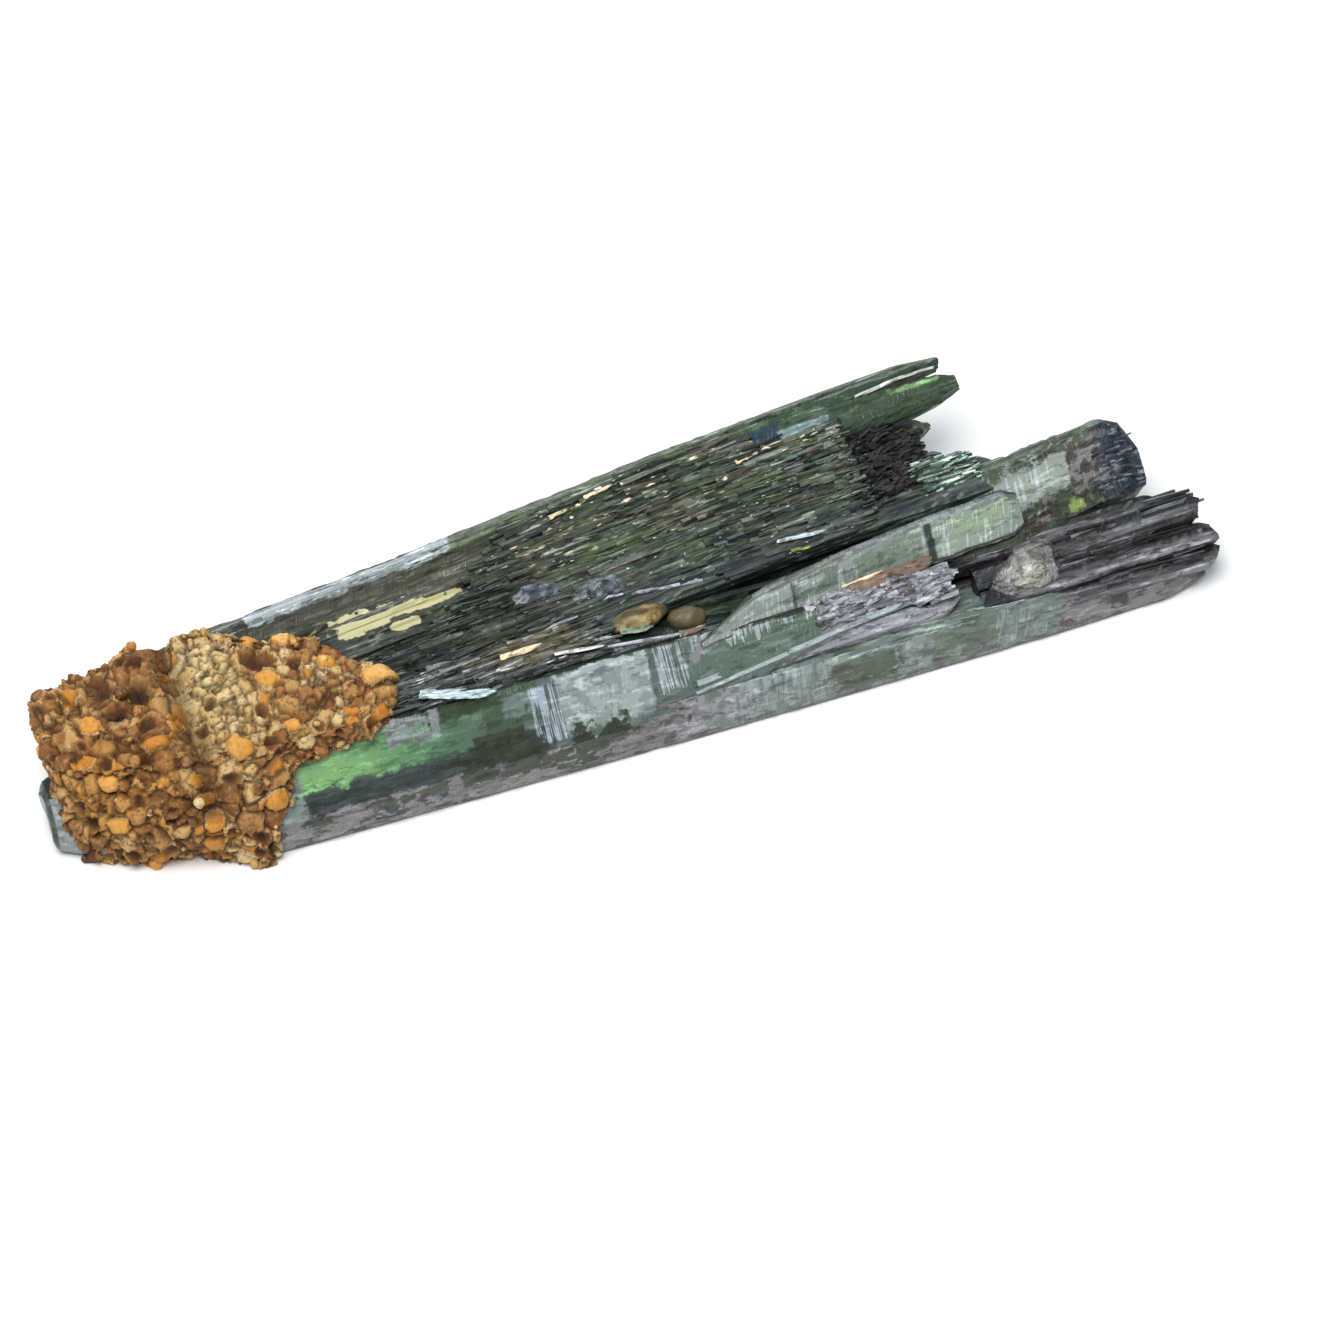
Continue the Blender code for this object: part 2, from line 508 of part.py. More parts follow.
def even_facets(hull, facet):
    """The mesh made again with clean facets of one size, in the design's millimetres."""
    shape = linked_object(hull, "crust_hull")
    remesh = shape.modifiers.new("remesh", "REMESH")
    remesh.mode = "VOXEL"
    remesh.voxel_size = facet
    bpy.context.view_layer.update()
    evaluated = shape.evaluated_get(bpy.context.evaluated_depsgraph_get())
    data = bpy.data.meshes.new_from_object(evaluated)
    bpy.data.objects.remove(shape, do_unlink=True)
    mesh = bmesh.new()
    mesh.from_mesh(data)
    mesh.normal_update()
    return mesh


def build_crust(material):
    """The crust of round grains, shaped by its outlines and cut clear of the crystals."""
    draw = random.Random(CRUST_SEED)
    hull = loft([[(x, y, z) for y, z in outline] for x, outline in CRUST_OUTLINES])
    mesh = even_facets(hull, CRUST_FACET)
    mesh.verts.ensure_lookup_table()
    oolites = []
    for _ in range(OOLITE_COUNT):
        seat = mesh.verts[draw.randrange(len(mesh.verts))]
        oolites.append((seat.co.copy(), draw.uniform(*OOLITE_RADIUS)))
    moved = [vert.co + vert.normal * crust_relief(vert.co, oolites) for vert in mesh.verts]
    for vert, place in zip(mesh.verts, moved):
        vert.co = place
    crust = to_object(even_facets(mesh, CRUST_FACET), "oolitic_matrix")
    inside = crystal_solids(GAP, CRUST_OUTLINES[-1][0] + 1.0)
    inside.append(block((-FAR, -FAR, -FAR), (FAR, FAR, CRUST_FLOOR_GAP)))
    cutter = to_object(inside[0], "crust_cutter")
    apply_boolean(cutter, as_cutters(inside[1:], "inside"), "UNION")
    apply_boolean(crust, as_guides([cutter], "clear"), "DIFFERENCE")
    tidy_mesh(crust)
    crust.data.materials.clear()
    crust.data.materials.append(material)
    return crust


def build_grains(material):
    """The two brown grains that sit in their sockets in the cleft."""
    for name, (centre, sizes, turn) in CLEFT_GRAINS.items():
        grain = to_object(lump(centre, sizes, turn), name)
        grain.data.materials.append(material)
        grain.data.shade_smooth()


def main():
    """Builds every sub-part."""
    clear_scene()
    build_crystals(make_material("dark_green_crystal", (0.035, 0.06, 0.045), 0.25))
    build_crust(make_material("ochre_oolite", (0.42, 0.2, 0.06), 0.85))
    build_grains(make_material("amber_grain", (0.3, 0.17, 0.06), 0.35))


main()
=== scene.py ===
# Vivianite shard: the looks of a fan of dark green blade crystals with an ochre oolitic crust.
# Shapes are worked out in the design's millimetres: +X runs along the crystals to their broken
# tips, +Y is the back, +Z is up and the shard rests on z = 0. A mesh is moved into the frame's
# metres when it is finished.

import math
import random

import bmesh
import bpy
import numpy as np
from mathutils import Matrix, Vector, kdtree, noise


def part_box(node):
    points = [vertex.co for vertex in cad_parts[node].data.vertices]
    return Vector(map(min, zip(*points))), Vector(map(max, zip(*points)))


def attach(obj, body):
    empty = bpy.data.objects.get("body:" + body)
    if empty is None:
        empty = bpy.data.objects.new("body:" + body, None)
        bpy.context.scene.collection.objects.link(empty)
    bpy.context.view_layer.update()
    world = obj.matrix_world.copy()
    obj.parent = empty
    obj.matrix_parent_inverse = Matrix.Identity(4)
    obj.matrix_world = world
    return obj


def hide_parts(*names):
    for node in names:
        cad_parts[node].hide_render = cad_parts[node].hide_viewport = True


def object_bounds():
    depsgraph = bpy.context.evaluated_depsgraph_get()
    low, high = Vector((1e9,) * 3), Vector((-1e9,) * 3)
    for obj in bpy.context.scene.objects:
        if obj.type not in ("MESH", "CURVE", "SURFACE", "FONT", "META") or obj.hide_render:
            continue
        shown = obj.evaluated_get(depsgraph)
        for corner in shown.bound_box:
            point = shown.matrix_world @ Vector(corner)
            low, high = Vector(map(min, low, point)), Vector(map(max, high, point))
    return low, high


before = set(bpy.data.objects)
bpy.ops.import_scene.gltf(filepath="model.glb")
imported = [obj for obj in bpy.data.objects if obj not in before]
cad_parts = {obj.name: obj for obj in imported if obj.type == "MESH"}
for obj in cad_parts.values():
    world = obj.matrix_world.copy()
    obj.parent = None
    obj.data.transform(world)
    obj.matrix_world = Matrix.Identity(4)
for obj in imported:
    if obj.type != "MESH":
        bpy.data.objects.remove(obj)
cad_low, cad_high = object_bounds()

MM = 0.001
MM_A_METRE = 1000.0

# The crystals' lowest corner in the design's millimetres. With the same corner in the frame it
# gives the shift from the one to the other.
CRYSTALS_LOW = Vector((-33.7, -3.7, 0.0))
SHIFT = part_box("vivianite_crystals")[0] - CRYSTALS_LOW * MM

# How far inside the CAD box every point stays, in millimetres.
BOX_MARGIN = 0.02

# The camera: where it looks, from which side in degrees, from how far in millimetres, how many
# pixels the square frame has and how many millimetres one pixel covers there.
LOOK_AT = Vector((0.0, 0.0, 3.0))
CAMERA_ELEVATION = 50.0
CAMERA_AZIMUTH = -20.0
CAMERA_DISTANCE = 300.0
FRAME_PIXELS = 1320
PIXEL_MM = 0.054
SENSOR_MM = 36.0
CLIP_START = 0.01

# The front crystal, as outlines (y, z) at stations along x. Each outline runs from the lower
# front edge, up the low bevel, up the leaning front face to the ridge, and down inside.
FRONT_CRYSTAL = [
    (-33.7, [(0.5, 0.35), (0.3, 1.0), (0.6, 2.2), (1.5, 3.3), (3.2, 3.2), (3.6, 0.3)]),
    (-31.0, [(-0.7, -0.2), (-1.0, 0.5), (-0.8, 1.9), (0.5, 4.2), (3.9, 4.3), (4.2, -0.2)]),
    (-22.5, [(-3.25, -0.2), (-3.5, 0.4), (-3.3, 2.1), (-0.8, 5.0), (2.2, 5.0), (2.8, -0.2)]),
    (-2.0, [(-3.4, -0.2), (-3.65, 0.4), (-3.4, 2.2), (-0.7, 5.2), (1.2, 4.7), (2.0, -0.2)]),
    (7.0, [(-2.6, 1.6), (-2.8, 2.4), (-2.75, 3.9), (-1.1, 5.25), (0.5, 4.6), (1.0, 0.6)]),
    (13.2, [(-1.6, 2.4), (-1.9, 3.0), (-1.7, 4.2), (-1.3, 5.1), (0.3, 4.7), (0.8, 1.8)]),
]

# The crystal along the lower front edge, with an upright face that ends in the far tips.
KEEL_CRYSTAL = [
    (-7.0, [(-3.2, -0.2), (-3.4, 0.4), (-2.1, 2.5), (-0.8, 2.6), (0.5, 2.2), (1.0, -0.2)]),
    (0.5, [(-3.4, -0.2), (-3.7, 0.4), (-3.15, 3.0), (-1.0, 3.2), (0.8, 2.4), (1.2, -0.2)]),
    (12.5, [(-3.35, -0.2), (-3.6, 0.4), (-3.15, 3.0), (-1.4, 3.0), (0.9, 2.2), (1.4, -0.2)]),
    (22.0, [(-3.25, -0.2), (-3.5, 0.4), (-2.85, 2.6), (-1.6, 2.5), (0.4, 1.9), (0.8, -0.2)]),
    (28.6, [(-2.95, -0.2), (-3.25, 0.4), (-2.7, 2.0), (-1.8, 2.1), (-0.9, 1.8), (-0.8, -0.2)]),
    (31.0, [(-2.6, 0.4), (-2.8, 0.8), (-2.5, 1.6), (-1.9, 1.8), (-1.2, 1.7), (-1.1, 0.6)]),
]

# The body under the spray, with the groove of the cleft in its upper front and an underside
# that steps up at the back.
CORE_BODY = [
    (-32.4, [(1.6, 0.3), (1.5, 4.1), (2.4, 4.7), (3.4, 5.2),
             (5.7, 5.4), (6.6, 4.0), (5.8, 1.1), (4.6, 0.3)]),
    (-22.0, [(0.0, -0.2), (0.2, 4.4), (0.9, 5.0), (2.0, 5.6),
             (6.5, 6.1), (8.0, 4.5), (7.3, 0.9), (5.6, -0.2)]),
    (-8.0, [(0.0, -0.2), (0.4, 4.5), (1.2, 4.6), (2.2, 5.4),
            (7.9, 6.1), (9.6, 4.5), (8.9, 1.0), (6.2, -0.2)]),
    (4.0, [(0.0, -0.2), (0.4, 3.8), (1.9, 3.9), (2.8, 5.2),
           (9.4, 6.1), (11.1, 4.4), (10.1, 1.3), (6.7, -0.2)]),
    (13.3, [(0.2, 0.3), (0.6, 3.2), (2.2, 3.3), (3.2, 4.9),
            (10.0, 5.0), (11.3, 4.2), (10.3, 1.9), (7.3, 0.8)]),
    (18.4, [(0.9, 1.2), (1.2, 3.2), (2.6, 3.4), (3.6, 4.3),
            (7.6, 4.2), (8.9, 3.6), (8.2, 2.4), (6.4, 1.7)]),
]

# The two long crystals that form the back rim, with a slit between their far tips.
RIM_UPPER = [
    (-33.3, [(4.6, 5.3), (5.6, 6.3), (6.4, 6.0), (6.6, 4.6), (5.2, 4.0)]),
    (-24.0, [(5.4, 5.7), (6.7, 6.7), (7.6, 6.3), (7.8, 4.8), (6.2, 4.2)]),
    (-12.0, [(6.6, 6.0), (8.0, 7.1), (8.9, 6.6), (9.1, 5.1), (7.2, 4.4)]),
    (4.0, [(9.1, 6.3), (10.3, 7.3), (11.1, 6.8), (11.3, 5.2), (9.6, 4.6)]),
    (14.0, [(10.9, 6.5), (11.7, 7.1), (12.3, 6.7), (12.4, 5.4), (11.1, 5.0)]),
    (18.5, [(11.9, 6.4), (12.3, 6.9), (12.8, 6.6), (12.9, 5.6), (12.0, 5.4)]),
    (20.9, [(12.2, 6.2), (12.5, 6.6), (12.8, 6.4), (12.9, 5.8), (12.4, 5.6)]),
]
RIM_LOWER = [
    (-25.0, [(4.2, 4.9), (4.6, 5.8), (6.3, 6.0), (6.8, 4.8), (4.8, 4.2)]),
    (-2.4, [(6.5, 5.3), (6.9, 6.5), (8.7, 6.8), (9.1, 5.2), (7.0, 4.4)]),
    (10.5, [(8.6, 5.4), (9.1, 6.4), (10.8, 6.9), (11.1, 5.4), (9.2, 4.4)]),
    (17.0, [(9.5, 5.2), (9.9, 6.2), (11.3, 6.6), (11.5, 5.4), (10.0, 4.5)]),
    (20.3, [(10.1, 5.5), (10.4, 6.2), (11.5, 6.5), (11.6, 5.6), (10.5, 5.0)]),
    (21.6, [(10.7, 5.5), (10.9, 6.0), (11.5, 6.1), (11.6, 5.7), (11.0, 5.3)]),
]

# The pale striped blade that lies above the front crystal, from a point to a broken end.
STRIPED_BLADE = [
    (1.9, [(-1.5, 4.9), (-1.35, 5.15), (-1.2, 5.1), (-1.1, 4.7)]),
    (5.5, [(-1.1, 4.9), (0.0, 5.95), (0.6, 5.8), (0.5, 4.7)]),
    (11.0, [(-0.6, 4.8), (0.9, 6.25), (1.6, 6.0), (1.3, 4.4)]),
    (16.5, [(0.0, 4.7), (1.6, 6.3), (2.4, 6.0), (2.0, 4.2)]),
    (20.8, [(0.5, 4.5), (2.0, 6.1), (2.8, 5.9), (2.5, 4.2)]),
    (21.6, [(1.0, 4.6), (2.1, 5.7), (2.6, 5.6), (2.4, 4.4)]),
]

# The wide blunt blade at the right, with its top face leaning to the front.
BLUNT_BLADE = [
    (12.0, [(0.9, 3.5), (3.4, 4.7), (4.5, 4.6), (4.4, 2.3), (1.3, 1.7)]),
    (20.4, [(0.1, 4.0), (3.9, 6.3), (4.7, 6.1), (4.5, 3.0), (0.8, 2.2)]),
    (27.6, [(1.4, 4.5), (4.75, 6.85), (5.4, 6.55), (5.1, 3.6), (1.8, 2.6)]),
    (28.7, [(1.8, 4.3), (4.7, 6.3), (5.2, 6.0), (4.9, 3.6), (2.1, 2.8)]),
    (29.4, [(2.1, 4.1), (3.6, 5.2), (4.2, 5.0), (4.0, 3.7), (2.4, 3.2)]),
]

# Blades of the spray: start and end of the axis, (width, depth) at each end, the roll about
# the axis in degrees, and how far the end is cut aslant.
SPRAY_BLADES = [
    ((-21.0, 5.2, 5.35), (14.4, 9.9, 5.75), (1.5, 1.5), (2.1, 1.6), 14, 0.4),
    ((-15.0, 4.6, 5.45), (13.6, 8.4, 6.05), (1.1, 1.3), (1.7, 1.5), -10, -0.4),
    ((-20.0, 3.9, 5.25), (14.0, 7.1, 5.75), (1.4, 1.4), (1.8, 1.5), 12, 0.5),
    ((-11.0, 3.6, 5.35), (12.9, 6.1, 6.0), (1.0, 1.2), (1.3, 1.4), -16, -0.4),
    ((-18.0, 2.9, 5.1), (13.3, 5.0, 5.6), (1.4, 1.4), (1.6, 1.6), 18, 0.5),
    ((-7.0, 3.0, 5.2), (21.2, 4.9, 5.6), (1.2, 1.4), (1.5, 1.3), 8, -0.3),
    ((-15.0, 2.0, 4.9), (20.7, 3.7, 5.45), (1.3, 1.3), (1.5, 1.3), 24, -0.5),
    ((-5.0, 1.9, 4.9), (12.6, 3.2, 5.3), (1.1, 1.2), (1.2, 1.3), 30, 0.4),
    ((-24.0, 6.4, 5.2), (11.8, 11.0, 5.7), (1.4, 1.5), (1.7, 1.8), -12, 0.4),
    ((-2.0, 7.0, 5.3), (18.7, 9.7, 4.7), (1.3, 1.4), (1.5, 1.5), 6, -0.6),
    ((2.0, 6.0, 5.0), (18.4, 8.2, 4.25), (1.4, 1.5), (1.5, 1.5), -14, 0.5),
    ((4.0, 5.2, 5.0), (18.9, 6.9, 4.5), (1.4, 1.4), (1.4, 1.4), 10, 0.4),
    ((4.0, 4.4, 5.0), (19.9, 5.9, 5.3), (1.4, 1.4), (1.2, 1.3), 15, 0.4),
    ((-14.0, 1.2, 4.7), (-0.5, 1.5, 5.0), (1.0, 1.1), (0.8, 1.0), 35, 0.3),
]

# Blades on the back and under the spray, which end in steps behind and below it.
BACK_BLADES = [
    ((-27.0, 6.2, 3.4), (8.5, 11.1, 3.7), (2.2, 2.6), (2.4, 2.8), 70, 0.7),
    ((-20.0, 6.4, 1.6), (2.0, 9.7, 1.6), (2.4, 2.0), (2.2, 1.8), 40, -0.6),
    ((-4.0, 7.6, 2.6), (15.8, 10.6, 3.6), (2.4, 2.2), (2.0, 1.9), 55, 0.7),
    ((-6.0, 6.8, 1.2), (11.5, 8.8, 1.6), (2.6, 1.8), (2.0, 1.4), 12, 0.6),
    ((-28.5, 4.8, 1.0), (-5.0, 7.2, 0.85), (2.0, 1.3), (2.2, 1.2), 22, 0.5),
    ((2.0, 3.6, 1.0), (17.2, 4.6, 1.5), (3.0, 1.8), (2.2, 1.4), -8, -0.7),
    ((6.0, 2.0, 1.8), (24.0, 2.3, 2.6), (2.6, 2.0), (1.8, 1.2), 15, 0.6),
]

# The dark ridged bundle at the far right, above the keel.
RIDGE_BLADES = [
    ((16.5, 0.8, 3.1), (29.0, 0.5, 3.75), (1.8, 1.6), (1.6, 1.4), 20, 0.3),
    ((18.0, -0.5, 2.7), (31.3, -0.4, 3.75), (1.9, 1.8), (1.7, 1.5), 34, 0.25),
    ((18.0, -1.6, 2.2), (31.8, -1.6, 2.95), (1.7, 1.8), (1.5, 1.5), 45, -0.25),
    ((17.0, -2.2, 1.7), (31.7, -2.45, 1.95), (1.6, 1.6), (1.4, 1.3), 55, 0.25),
    ((15.0, -0.4, 1.2), (28.5, -0.6, 2.0), (2.8, 2.2), (2.2, 1.8), 8, -0.5),
]

# Thin flakes where the front crystal breaks off in steps.
FLAKE_BLADES = [
    ((8.0, -1.7, 3.9), (16.6, -0.9, 4.3), (1.4, 0.9), (1.2, 0.7), 42, 0.5),
    ((6.0, -2.3, 3.3), (14.8, -2.0, 3.55), (1.2, 0.8), (1.1, 0.7), 48, -0.5),
    ((9.0, -2.1, 2.9), (16.4, -1.9, 3.1), (1.3, 0.8), (1.2, 0.7), 30, 0.5),
    ((9.5, -0.7, 4.6), (15.4, -0.1, 4.7), (1.2, 0.8), (1.1, 0.6), 25, 0.5),
]

# The long pale splinter on the front face.
SPLINTER = ((1.2, -2.48, 3.3), (14.6, -1.6, 4.4), (0.5, 0.45), (0.6, 0.5), 45, 0.2)

# Smooth lumps of broken crystal: centre, half sizes and turn about z in degrees.
BOSS = ((21.1, -0.9, 2.85), (2.45, 1.45, 1.6), 12)
SMOOTH_LUMPS = [
    ((-5.6, 4.3, 5.8), (1.9, 0.9, 0.62), 8),
    ((-2.2, 3.6, 5.7), (1.8, 0.85, 0.6), 8),
]

# The grains in the cleft: centre, half sizes and turn about z in degrees.
CLEFT_GRAINS = {
    "cleft_grain_long": ((-0.7, 1.5, 5.05), (1.75, 0.68, 0.68), 6),
    "cleft_grain_short": ((1.85, 0.85, 4.75), (1.05, 0.68, 0.72), -10),
}

# The outside of the crust as outlines (y, z) at stations along x.
CRUST_OUTLINES = [
    (-33.4, [(1.5, 1.4), (0.4, 2.6), (0.6, 4.4), (1.8, 5.6),
             (3.3, 6.0), (5.2, 5.9), (4.8, 3.6), (3.0, 1.6)]),
    (-32.5, [(-0.6, -0.2), (-1.0, 2.4), (-0.2, 4.6), (1.1, 6.0),
             (3.4, 6.5), (6.0, 6.4), (5.4, 3.8), (2.6, 0.8)]),
    (-30.5, [(-1.4, -0.4), (-2.0, 2.3), (-1.6, 4.7), (0.1, 6.4),
             (3.4, 7.0), (6.6, 6.9), (5.8, 4.4), (2.4, 0.4)]),
    (-27.0, [(-2.3, -0.4), (-3.1, 2.3), (-2.7, 4.7), (-0.4, 6.6),
             (3.4, 7.2), (7.0, 7.1), (6.1, 4.6), (2.0, 0.4)]),
    (-24.6, [(-3.5, -0.4), (-3.8, 2.2), (-3.0, 4.7), (-0.9, 6.6),
             (3.2, 7.4), (7.4, 7.2), (6.4, 5.0), (1.5, 0.4)]),
    (-23.5, [(-4.3, -0.4), (-4.2, 1.8), (-3.0, 4.7), (-0.9, 6.5),
             (3.2, 7.4), (7.4, 7.2), (6.3, 5.0), (1.2, 0.5)]),
    (-22.6, [(-3.9, -0.1), (-4.0, 1.8), (-2.9, 4.6), (-1.0, 6.4),
             (3.1, 7.3), (7.0, 7.1), (6.1, 5.0), (0.9, 0.9)]),
    (-21.7, [(-2.4, 2.2), (-3.2, 3.0), (-2.6, 4.7), (-1.1, 6.3),
             (3.0, 7.3), (6.6, 7.1), (5.8, 5.1), (0.6, 2.2)]),
    (-20.8, [(-1.0, 3.9), (-1.9, 4.4), (-2.0, 5.2), (-1.1, 6.2),
             (2.8, 7.2), (6.0, 7.0), (5.4, 5.2), (0.6, 4.0)]),
    (-18.0, [(-0.9, 4.2), (-1.5, 4.7), (-1.6, 5.4), (-1.1, 6.2),
             (2.2, 7.1), (5.2, 6.9), (4.8, 5.2), (0.8, 4.2)]),
    (-16.6, [(-0.8, 4.3), (-1.3, 4.8), (-1.4, 5.4), (-0.8, 6.1),
             (1.8, 6.8), (4.0, 6.6), (3.8, 5.0), (0.8, 4.3)]),
    (-15.2, [(-0.2, 4.8), (-0.5, 5.1), (-0.5, 5.5), (0.2, 6.0),
             (1.6, 6.4), (2.7, 6.2), (2.6, 5.3), (1.0, 4.9)]),
]

# Deep pits between the grains: centre on the crust's surface and radius.
CRUST_PITS = [
    ((-29.6, 4.9, 6.6), 0.9),
    ((-27.9, 4.3, 6.9), 1.0),
    ((-29.2, 3.3, 6.9), 0.7),
    ((-28.6, 0.2, 6.3), 0.7),
    ((-22.3, 6.0, 7.2), 0.6),
    ((-22.9, -3.9, 1.2), 0.5),
]


# Shapes

class Shape:
    """Points, faces and what the materials read of one piece, while it is being made."""

    def __init__(self):
        self.points = []
        self.count = 0
        self.faces = []
        self.corners = []
        self.tints = []
        self.broken = []

    def add(self, points, faces, corners, tints, broken):
        """Adds one closed body. Corners are a (mm along, side and share across it) pair a face corner."""
        self.points.append(np.asarray(points, float))
        self.faces.extend([[index + self.count for index in face] for face in faces])
        self.corners.extend(corners)
        self.tints.extend(tints)
        self.broken.extend(broken)
        self.count += len(points)


def new_object(name, data):
    """A new object in the scene."""
    made = bpy.data.objects.new(name, data)
    bpy.context.scene.collection.objects.link(made)
    return made


def mesh_from(work, name):
    """The mesh of a bmesh, which is used up."""
    mesh = bpy.data.meshes.new(name)
    work.to_mesh(mesh)
    work.free()
    return mesh


def station_rows(work, stations):
    """The corners of outlines at stations along x, as rows in a bmesh."""
    return [[work.verts.new((x, y, z)) for y, z in outline] for x, outline in stations]


def evaluated_mesh(carrier):
    """The mesh that an object's modifiers make."""
    bpy.context.view_layer.update()
    return bpy.data.meshes.new_from_object(carrier.evaluated_get(bpy.context.evaluated_depsgraph_get()))


def vectors_of(items, key):
    """One vector of each point of a mesh, as rows."""
    values = np.zeros(len(items) * 3)
    items.foreach_get(key, values)
    return values.reshape(-1, 3)


def set_points(mesh, points):
    """Moves the points of a mesh."""
    mesh.vertices.foreach_set("co", points.ravel())
    mesh.update()


def in_frame(points):
    """Design millimetres as the frame's metres, kept inside the CAD box."""
    low = np.array(cad_low) + BOX_MARGIN * MM
    high = np.array(cad_high) - BOX_MARGIN * MM
    low[2] = cad_low.z
    return np.clip(np.asarray(points) * MM + np.array(SHIFT), low, high)


def piece_from(shape, name, smooth=False):
    """The finished object of a shape, with its coordinates and attributes."""
    mesh = bpy.data.meshes.new(name)
    mesh.from_pydata(in_frame(np.concatenate(shape.points)).tolist(), [], shape.faces)
    grown = mesh.uv_layers.new(name="grown")
    flat = [value for face in shape.corners for corner in face for value in corner]
    grown.data.foreach_set("uv", flat)
    for key, values in (("tint", shape.tints), ("broken", shape.broken)):
        mesh.attributes.new(key, "FLOAT", "FACE").data.foreach_set("value", values)
    work = bmesh.new()
    work.from_mesh(mesh)
    bmesh.ops.recalc_face_normals(work, faces=work.faces)
    work.to_mesh(mesh)
    work.free()
    if smooth:
        mesh.shade_smooth()
    return new_object(name, mesh)


def dress(piece, material, slot, *nodes):
    """Gives a piece its material, puts it under the root body and hides the CAD nodes it stands for. The
    slot is not used.
    """
    piece.data.materials.clear()
    piece.data.materials.append(material)
    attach(piece, "root")
    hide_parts(*nodes)
    return piece


def station_loft(stations):
    """A crystal through outlines at stations along x: centres, across, up, outlines and lean."""
    count = len(stations)
    centres = np.array([(x, 0.0, 0.0) for x, _ in stations])
    across = np.tile((0.0, 1.0, 0.0), (count, 1))
    up = np.tile((0.0, 0.0, 1.0), (count, 1))
    return centres, across, up, np.array([outline for _, outline in stations]), np.zeros(count)


# How wide a blade's bevels are as a share of its width, how long its worn tip is in millimetres
# and how much of the blade's size is left there.
BLADE_BEVEL = 0.2
TIP_LENGTH = 0.45
TIP_WEAR = 0.62


def blade_loft(start, end, size_start, size_end, roll, slant):
    """A flat six-sided bar from start to end, rolled about its axis, with a slanted, worn end."""
    start = Vector(start)
    end = Vector(end)
    along = (end - start).normalized()
    level = Vector((0.0, 0.0, 1.0)).cross(along).normalized()
    across = Matrix.Rotation(math.radians(roll), 3, along) @ level
    up = along.cross(across)
    inner = 0.5 - BLADE_BEVEL
    section = np.array([(-0.5, 0.0), (-inner, 0.5), (inner, 0.5),
                        (0.5, 0.0), (inner, -0.5), (-inner, -0.5)])
    sizes = [size_start, size_end, (size_end[0] * TIP_WEAR, size_end[1] * TIP_WEAR)]
    centres = np.array([start, end - along * TIP_LENGTH, end])
    outlines = np.array([section * np.array(size) for size in sizes])
    lean = np.array([0.0, 2.0 * slant / sizes[1][0], 2.0 * slant / sizes[2][0]])
    return centres, np.tile(across, (3, 1)), np.tile(up, (3, 1)), outlines, lean


# How far the edge of a striation strays, as a share of its width.
LINE_JITTER = 0.35

# How fine the dents of a bruised side are along and across it.
DENT_FINE = (1.3, 2.5)

# How fine the broad and the small nicks of an edge are, how much the small ones count, how far
# apart edges are read and how much of an edge is nicked.
NICK_FINE = (0.7, 2.9)
SMALL_NICKS = 0.5
EDGE_APART = 3.1
NICK_SHARE = 0.3

# The rings that a broken end is made of, as shares of its outline, how fine its terraces are, and
# how many levels they have each way, from -END_REACH to END_REACH.
END_RINGS = (0.9, 0.8, 0.7, 0.6, 0.5, 0.4, 0.3, 0.2, 0.1, 0.0)
END_ROUGH = 0.55
END_LEVELS = 6.0
END_REACH = 2.0


def unit_rows(vectors):
    """Vectors made one long, along the last axis."""
    return vectors / np.maximum(np.linalg.norm(vectors, axis=-1, keepdims=True), 1e-9)


def runs(count, columns, step, run, draw):
    """For each column, a value that holds for a stretch along the crystal and then steps."""
    values = np.zeros((count, columns))
    for column in range(columns):
        row = 0
        while row < count:
            stretch = max(1, int(draw.expovariate(1.0 / run) / step))
            values[row:row + stretch, column] = draw.uniform(-1.0, 1.0)
            row += stretch
    return values


def striation_edges(corners, facet, draw):
    """The edges of the striations round an outline: the side of each and its share across it."""
    side_of, share = [], []
    for side, corner in enumerate(corners):
        length = np.linalg.norm(corners[(side + 1) % len(corners)] - corner)
        parts = max(1, int(round(length / facet)))
        for part in range(parts):
            jitter = draw.uniform(-LINE_JITTER, LINE_JITTER) if part else 0.0
            side_of.append(side)
            share.append((part + jitter) / parts)
    return np.array(side_of), np.array(share)


def nicked(flat, corner, at, wear):
    """How far one edge of a crystal is worn inwards, at each place along it."""
    broad, small = NICK_FINE
    apart = corner * EDGE_APART
    nicks = np.array([noise.noise(Vector((a * broad, apart, 0.0)))
                      + SMALL_NICKS * noise.noise(Vector((a * small, apart, 9.0))) for a in at])
    inward = unit_rows(flat.mean(axis=1) - flat[:, corner])
    return inward * (wear * np.clip(nicks + NICK_SHARE, 0.0, 1.0))[:, None]


